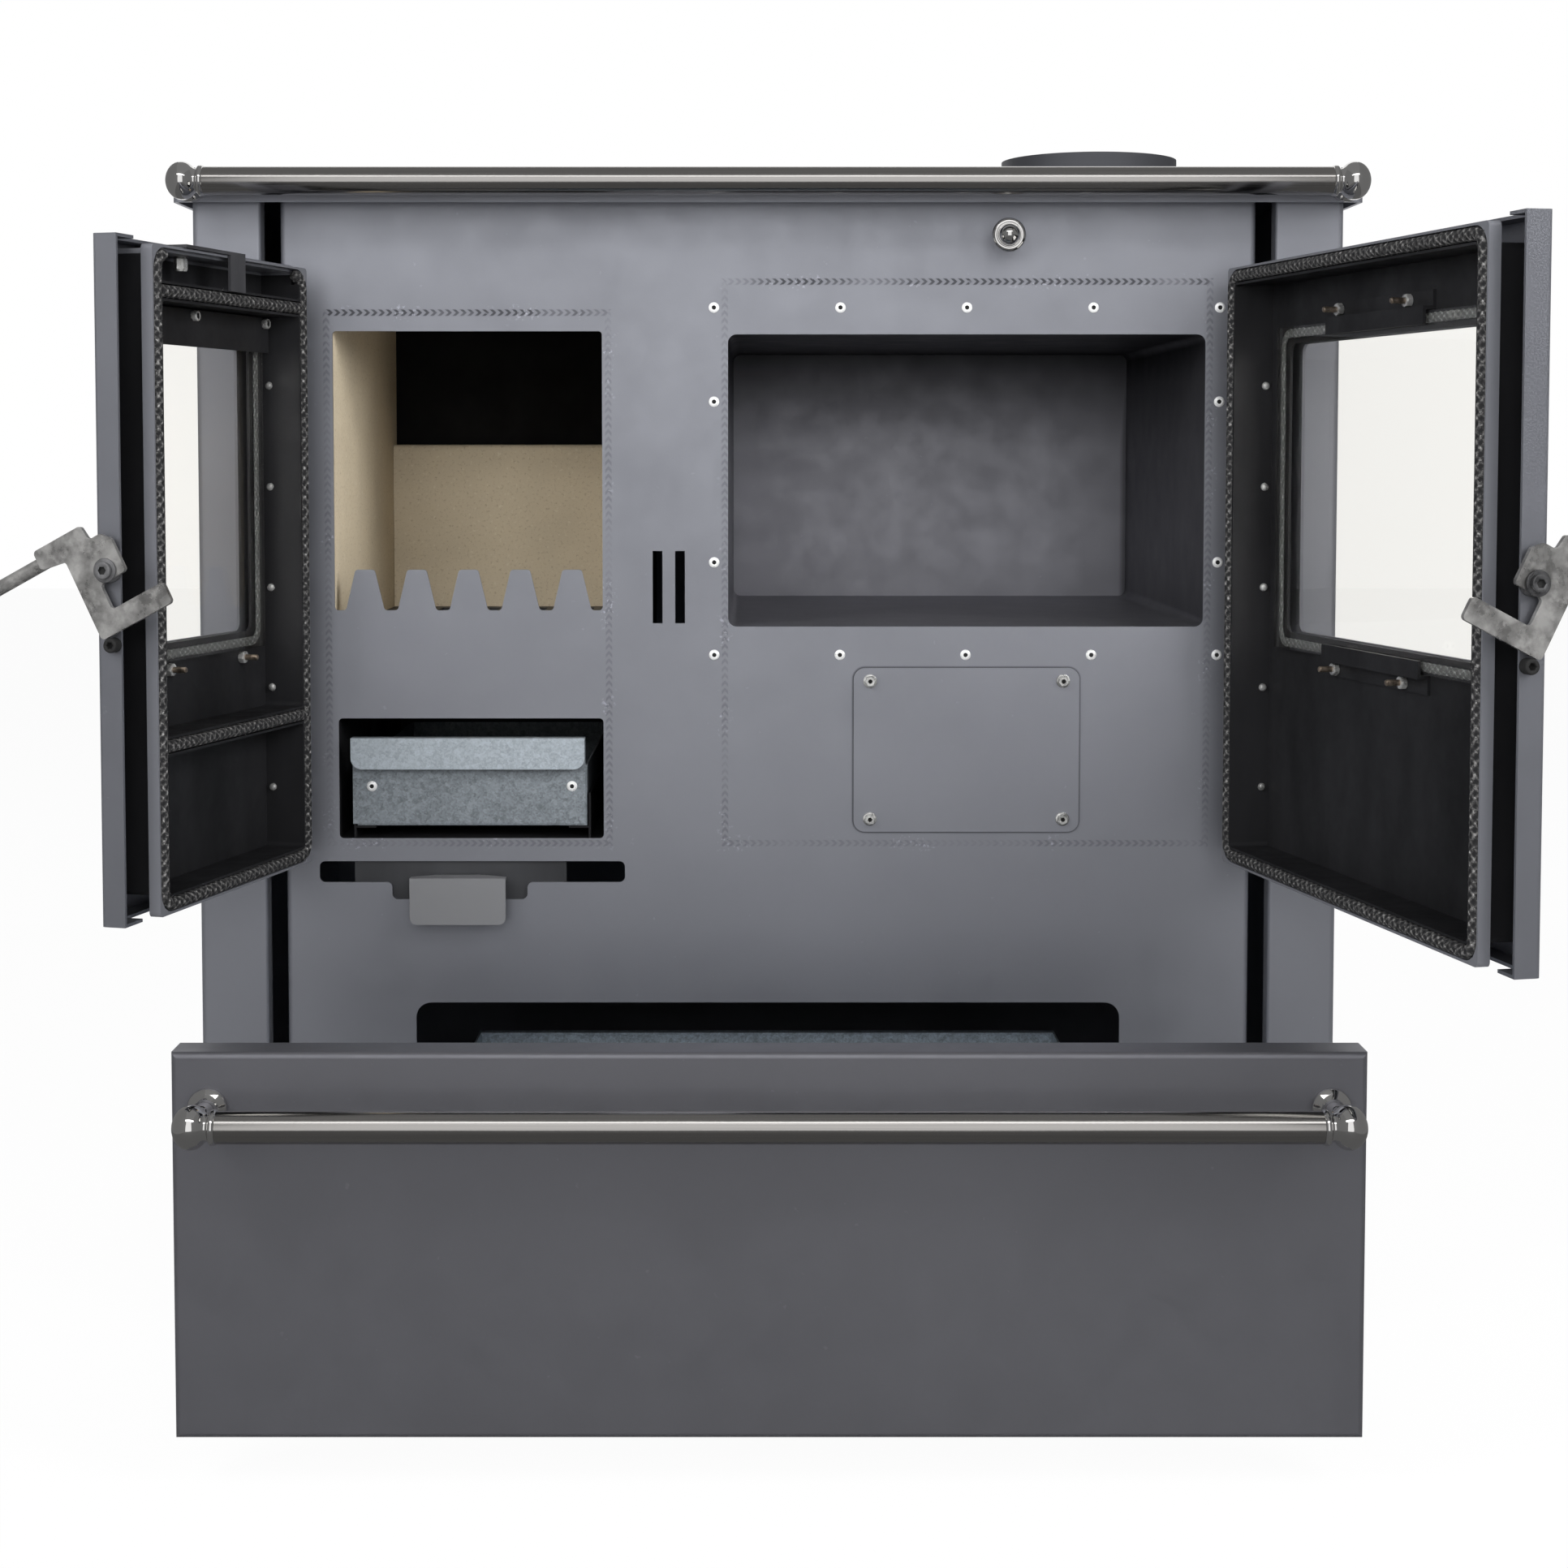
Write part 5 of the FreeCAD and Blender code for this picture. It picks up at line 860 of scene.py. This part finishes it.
def facing(place, direction):
    """A matrix that sets a shape made along Z at a place, looking along a direction."""
    turn = Vector(direction).to_track_quat("Z", "Y").to_matrix().to_4x4()
    return Matrix.Translation(place) @ turn


def front_seat(low, high):
    """A matrix for a small part that stands on a face looking to the front."""
    mid = centre(low, high)
    return facing((mid.x, high.y, mid.z), (0, -1, 0))


def scaled(r, h, shape):
    """A profile from points in parts of a radius and a height."""
    return [(r * across, h * up) for across, up in shape]


def rivets():
    """Blind rivets with a bored head and the dark end of their mandrel."""
    for node, body in (("oven_rivets", "cabinet"), ("ash_rivets", "ash_drawer")):
        made = Turnery()
        for low, high in solids(node):
            profile = scaled((high.x - low.x) / 2, high.y - low.y, RIVET)
            made.add(profile, front_seat(low, high), tones=[(RIVET_BORE, 1)])
        made.make(node + "_detail", ["rivet", "hole"], body, [node])


def cover_screws():
    """Washer-faced hexagon screws with a round recess on the inspection cover."""
    draw = random.Random(4)
    made = Turnery()
    for low, high in solids("access_screws"):
        profile = scaled((high.x - low.x) / 2, high.y - low.y, COVER_SCREW)
        seat = front_seat(low, high) @ Matrix.Rotation(draw.uniform(0, 1), 4, "Z")
        made.add(profile, seat, tones=[(COVER_SCREW_RECESS, 1)], hexagons=COVER_SCREW_FLATS,
                 smooth=False)
    made.make("access_screws_detail", ["zinc_bright", "hole"], "cabinet", ["access_screws"])


def threaded(r, start, stop):
    """A thread in profile between two heights."""
    rows = []
    for i in range(int((stop - start) / THREAD_PITCH)):
        h = start + i * THREAD_PITCH
        rows += [(r * 0.84, h), (r, h + THREAD_PITCH * 0.5)]
    return rows + [(r * 0.8, stop - 0.2 * MM), (r * 0.55, stop)]


def socket_head(r, h, recess):
    """The profile of a cylinder head with a hexagon socket."""
    return scaled(r, h, SOCKET_HEAD) + scaled(recess, h, SOCKET)


def door_fasteners():
    """Nuts on studs, socket screws, wall rivets and the bolt of the air slide."""
    nut = 4 * MM
    for door, matrix, sign in DOORS:
        made = Turnery()
        draw = random.Random(7)
        node = door + "_screws"
        for low, high in solids(node, matrix):
            size, mid = high - low, centre(low, high)
            twist = Matrix.Rotation(draw.uniform(0, 1), 4, "Z")
            inward = matrix @ facing((mid.x, low.y, mid.z), (0, 1, 0)) @ twist
            stud = size.y > 10 * MM and size.x < 10 * MM
            wall_rivet = size.x < 3 * MM
            socket_screw = size.y < 6 * MM
            slide_bolt = size.x > 11 * MM
            if stud:
                made.add(scaled(nut, nut, NUT), inward, hexagons=NUT_FLATS, smooth=False)
                made.add(threaded(2 * MM, 3.6 * MM, size.y), inward, tones=[(0, 2)])
            elif wall_rivet:
                start = low.x if sign > 0 else high.x
                seat = matrix @ facing((start, mid.y, mid.z), (sign, 0, 0))
                made.add(scaled(size.z / 2, size.x, WALL_RIVET), seat)
            elif socket_screw:
                profile = socket_head(size.x / 2, size.y, 2 * MM)
                made.add(profile, inward, tones=[(SOCKET_RECESS, 1)], hexagons=SOCKET_FLATS)
            elif slide_bolt:
                r, h = size.x / 2, size.z
                seat = matrix @ facing((mid.x, mid.y, low.z), (0, 0, 1))
                made.add([(r * 0.5, 0), (r * 0.5, h - 2 * MM), (r * 0.97, h - 2 * MM), (r, h - 1.4 * MM),
                          (r * 0.8, h - 0.5 * MM), (r * 0.3, h)], seat)
            else:
                seat = matrix @ facing((mid.x, mid.y, high.z), (0, 0, -1)) @ twist
                made.add(scaled(nut, size.z, NUT), seat, hexagons=NUT_FLATS, smooth=False)
        made.make(node + "_detail", ["zinc_bright", "hole", "stud"], door, [node])


def latch_fasteners():
    """The pivot screw of each latch, with its washer and socket head, and the black stop screw."""
    head, rim, shank = 4 * MM, 1.2 * MM, 4 * MM
    for door, matrix, sign in DOORS:
        made = Turnery(LATCH_SIDES)
        node = door + "_latch_screws"
        for low, high in solids(node, matrix):
            size, mid = high - low, centre(low, high)
            start = low.x if sign > 0 else high.x
            seat = matrix @ facing((start, mid.y, mid.z), (sign, 0, 0))
            r, length = size.z / 2, size.x
            pivot = size.z > 12 * MM
            if pivot:
                neck = length - head
                made.add([(r, 0), (r, 3.3 * MM), (shank, 3.3 * MM), (shank, neck), (r * 0.97, neck),
                          (r * 0.97, neck + 0.9 * MM), (r * 0.9, neck + rim), (3 * MM, neck + rim)],
                         seat, tones=[(0, 1)])
                profile = socket_head(5.2 * MM, head - rim, 2.6 * MM)
                made.add(profile, seat @ Matrix.Translation((0, 0, neck + rim)),
                         tones=[(0, 1), (SOCKET_RECESS, 2)], hexagons=SOCKET_FLATS)
            else:
                profile = socket_head(r, length, 2.2 * MM)
                made.add(profile, seat, tones=[(0, 2)], hexagons=SOCKET_FLATS)
        made.make(node + "_detail", ["zinc_bright", "screw_grey", "hole"], door, [node])


def rail_balls():
    """The chromed ball ends of both rails with their collars, posts and feet."""
    collar, post, foot = 4 * MM, 6 * MM, 12 * MM
    angles = [math.pi * i / RAIL_BALL_STEPS for i in range(RAIL_BALL_STEPS - 3)]
    for name, body in (("top_rail", "cabinet"), ("drawer_rail", "wood_drawer")):
        made = Turnery(BALL_SIDES)
        rail_low, rail_high = local_box(name)
        axis = centre(rail_low, rail_high)
        tube = (rail_high.z - rail_low.z) / 2
        for low, high in solids(name + "_ends"):
            sign = 1 if low.x > 0 else -1
            r, length = (high.z - low.z) / 2, high.x - low.x
            ball = length - collar
            tip = high.x if sign > 0 else low.x
            profile = [(max(r * math.sin(a), 0.2 * MM), ball / 2 * (1 - math.cos(a))) for a in angles]
            profile += [(r * 0.62, ball * 0.965), (r * 0.66, ball), (r * 0.76, ball + 0.3 * MM),
                        (r * 0.8, ball + 1.1 * MM), (r * 0.8, ball + 2.6 * MM),
                        (r * 0.77, length - 0.3 * MM), (tube, length)]
            made.add(profile, facing((tip, axis.y, axis.z), (-sign, 0, 0)))
            reach = high.y - axis.y
            middle = tip - sign * ball / 2
            made.add([(post, 0), (post, reach - 9 * MM), (post * 1.12, reach - 6.5 * MM),
                      (post * 1.5, reach - 4.2 * MM), (foot * 0.94, reach - 3 * MM),
                      (foot, reach - 2 * MM), (foot, reach)],
                     facing((middle, axis.y, axis.z), (0, 1, 0)))
        made.make(name + "_ends_detail", ["chrome"], body, [name + "_ends"])


def damper_ball():
    """The damper's chromed knob: a ring with a ball set into it."""
    made = Turnery(BALL_SIDES)
    low, high = local_box("damper_knob")
    r, depth = (high.x - low.x) / 2, high.y - low.y
    neck, ball = 5 * MM, 7.5 * MM
    front = depth - ball
    profile = [(neck, 0), (neck, front - 8 * MM), (r * 0.8, front - 8 * MM),
               (r * 0.93, front - 7.2 * MM), (r, front - 5.4 * MM), (r, front - 2.6 * MM),
               (r * 0.94, front - 0.9 * MM), (r * 0.82, front - 0.1 * MM), (r * 0.72, front - 0.5 * MM),
               (ball, front - 0.9 * MM)]
    angles = [math.pi / 2 * i / DAMPER_BALL_STEPS for i in range(DAMPER_BALL_STEPS + 1)]
    profile += [(max(ball * math.cos(a), 0.15 * MM), front + ball * math.sin(a)) for a in angles]
    made.add(profile, front_seat(low, high))
    made.make("damper_knob_detail", ["chrome"], "damper", ["damper_knob"])


# Finish of the carried-over nodes

MATERIALS = {}
FINISH = {
    "coat": "left_side_panel right_side_panel top_frame access_cover",
    "shell": "fire_door_shell oven_door_shell",
    "drawer": "drawer_front",
    "coat_dark": "base_plinth back_panel hinge_ears fire_door_lugs oven_door_lugs",
    "slider": "fire_air_slider",
    "panel": "front_panel",
    "liner": "oven_liner",
    "flue": "flue_collar",
    "black": "ash_chamber ash_runners damper_plate fire_door_glass_retainer oven_door_glass_clips",
    "soot": "firebox_shell",
    "fire_frame": "fire_door_frame",
    "oven_frame": "oven_door_frame",
    "iron": "hob_plate hob_lid fire_grate",
    "steel": "top_rail drawer_rail",
    "zinc": "fire_latch_lever oven_latch_lever fire_latch_handle oven_latch_handle",
    "zinc_bright": "hinge_pins damper_rod",
    "galvanised": "drawer_runners ash_tray",
    "box": "drawer_box",
    "lip": "ash_lip",
    "fireclay": "firebrick_sides firebrick_back",
    "glass": "fire_door_glass oven_door_glass",
    "tab": "air_slide",
}


def seal_rectangle(node, matrix):
    """The rectangle along a door's rope, in the door's own frame."""
    low, high = local_box(node, matrix)
    r = (high.y - low.y) / 2
    return (low.x + r, low.z + r), (high.x - r, high.z - r)


def pressed(box, matrix, top=None):
    """Where such a rectangle lies on the front panel when the door is shut."""
    (u0, z0), (u1, z1) = box
    hinge = matrix.translation.x
    return (hinge + u0, z0), (hinge + u1, top or z1)


def finishes():
    """Makes every material and gives it to its nodes."""
    cross = max(b.z + a.z for a, b in solids("fire_door_cross_ropes", FIRE)) / 2
    fire_box = seal_rectangle("fire_door_gasket", FIRE)
    oven_box = seal_rectangle("oven_door_gasket", OVEN)
    cover_low, cover_high = local_box("access_cover")
    cover = (cover_low.x, cover_low.z), (cover_high.x, cover_high.z)
    prints = [pressed(fire_box, FIRE, cross), pressed(oven_box, OVEN)]
    MATERIALS["coat"] = powder_coat("coat", COAT)
    MATERIALS["coat_dark"] = powder_coat("coat_dark", tinted(COAT, 0.5))
    MATERIALS["panel"] = powder_coat("panel_coat", COAT, marks=prints, cover=cover)
    MATERIALS["drawer"] = powder_coat("drawer_coat", DRAWER_COAT)
    liner = vertices("oven_liner")
    deep = liner[liner[:, 1] > liner[:, 1].min() + 50 * MM].max(0)
    # The liner's coat carries painted shade under its roof and on its right wall
    MATERIALS["liner"] = powder_coat("liner_coat", LINER_COAT, 0.48, 0.9, shade_corner=(deep[0], deep[2]))
    MATERIALS["flue"] = powder_coat("flue_coat", tinted(COAT, 0.17), 0.55, 0.3)
    # Painted shade: the door shells take the cabinet's coat darkened to 0.82 of its tone
    MATERIALS["shell"] = powder_coat("door_coat", tinted(COAT, 0.82))
    MATERIALS["slider"] = black_steel("slider_black", (0.035, 0.035, 0.038), 0.4)
    MATERIALS["black"] = black_steel("black_steel")
    MATERIALS["soot"] = black_steel("firebox_black", tinted(BLACK, 0.4), 0.75)
    MATERIALS["fire_frame"] = door_frame_paint("fire_frame_paint", FIRE, fire_box)
    MATERIALS["oven_frame"] = door_frame_paint("oven_frame_paint", OVEN, oven_box)
    MATERIALS["iron"] = cast_iron("cast_iron")
    MATERIALS["steel"] = brushed_bar("stainless")
    MATERIALS["chrome"] = chrome("chrome")
    MATERIALS["zinc"] = zinc("zinc_plate")
    MATERIALS["zinc_bright"] = zinc("zinc_bright", (0.5, 0.5, 0.49), 0.28)
    MATERIALS["screw_grey"] = zinc("screw_grey", (0.16, 0.16, 0.165), 0.4, 0.8)
    MATERIALS["stud"] = stud_steel("stud_steel")
    lip_low, _ = local_box("ash_lip")
    # Lit and shaded copies of one galvanised: tray and runners at a shaded tone as painted shade, the
    # drawer box and the lip's front lighter as painted light
    MATERIALS["galvanised"] = galvanised("galvanised", GALVANISED)
    MATERIALS["box"] = galvanised("galvanised_box", tinted(GALVANISED, 2.4))
    lit_colour = tinted(GALVANISED, 1.75)
    MATERIALS["lip"] = galvanised("galvanised_lip", GALVANISED, lit_colour, lip_low.y + 4 * MM)
    MATERIALS["rivet"] = aluminium("rivet_aluminium")
    MATERIALS["fireclay"] = fireclay("fireclay")
    MATERIALS["rope"] = knitted("rope_yarn", (0.014, 0.014, 0.015), (0.5, 0.49, 0.48))
    MATERIALS["tape"] = knitted("tape_yarn", (0.05, 0.053, 0.055), (0.42, 0.44, 0.46))
    MATERIALS["glass"] = pane("fire_glass")
    MATERIALS["hole"] = dark_hole("socket_dark")
    panel_low, _ = local_box("front_panel")
    MATERIALS["tab"] = air_slide_paint("air_slide_coat", panel_low.y - 1.5 * MM)
    for material, names in FINISH.items():
        for name in names.split():
            mesh = NODES[name].data
            mesh.materials.clear()
            mesh.materials.append(MATERIALS[material])


camera()
studio()
finishes()
seals()
rivets()
cover_screws()
door_fasteners()
latch_fasteners()
rail_balls()
damper_ball()
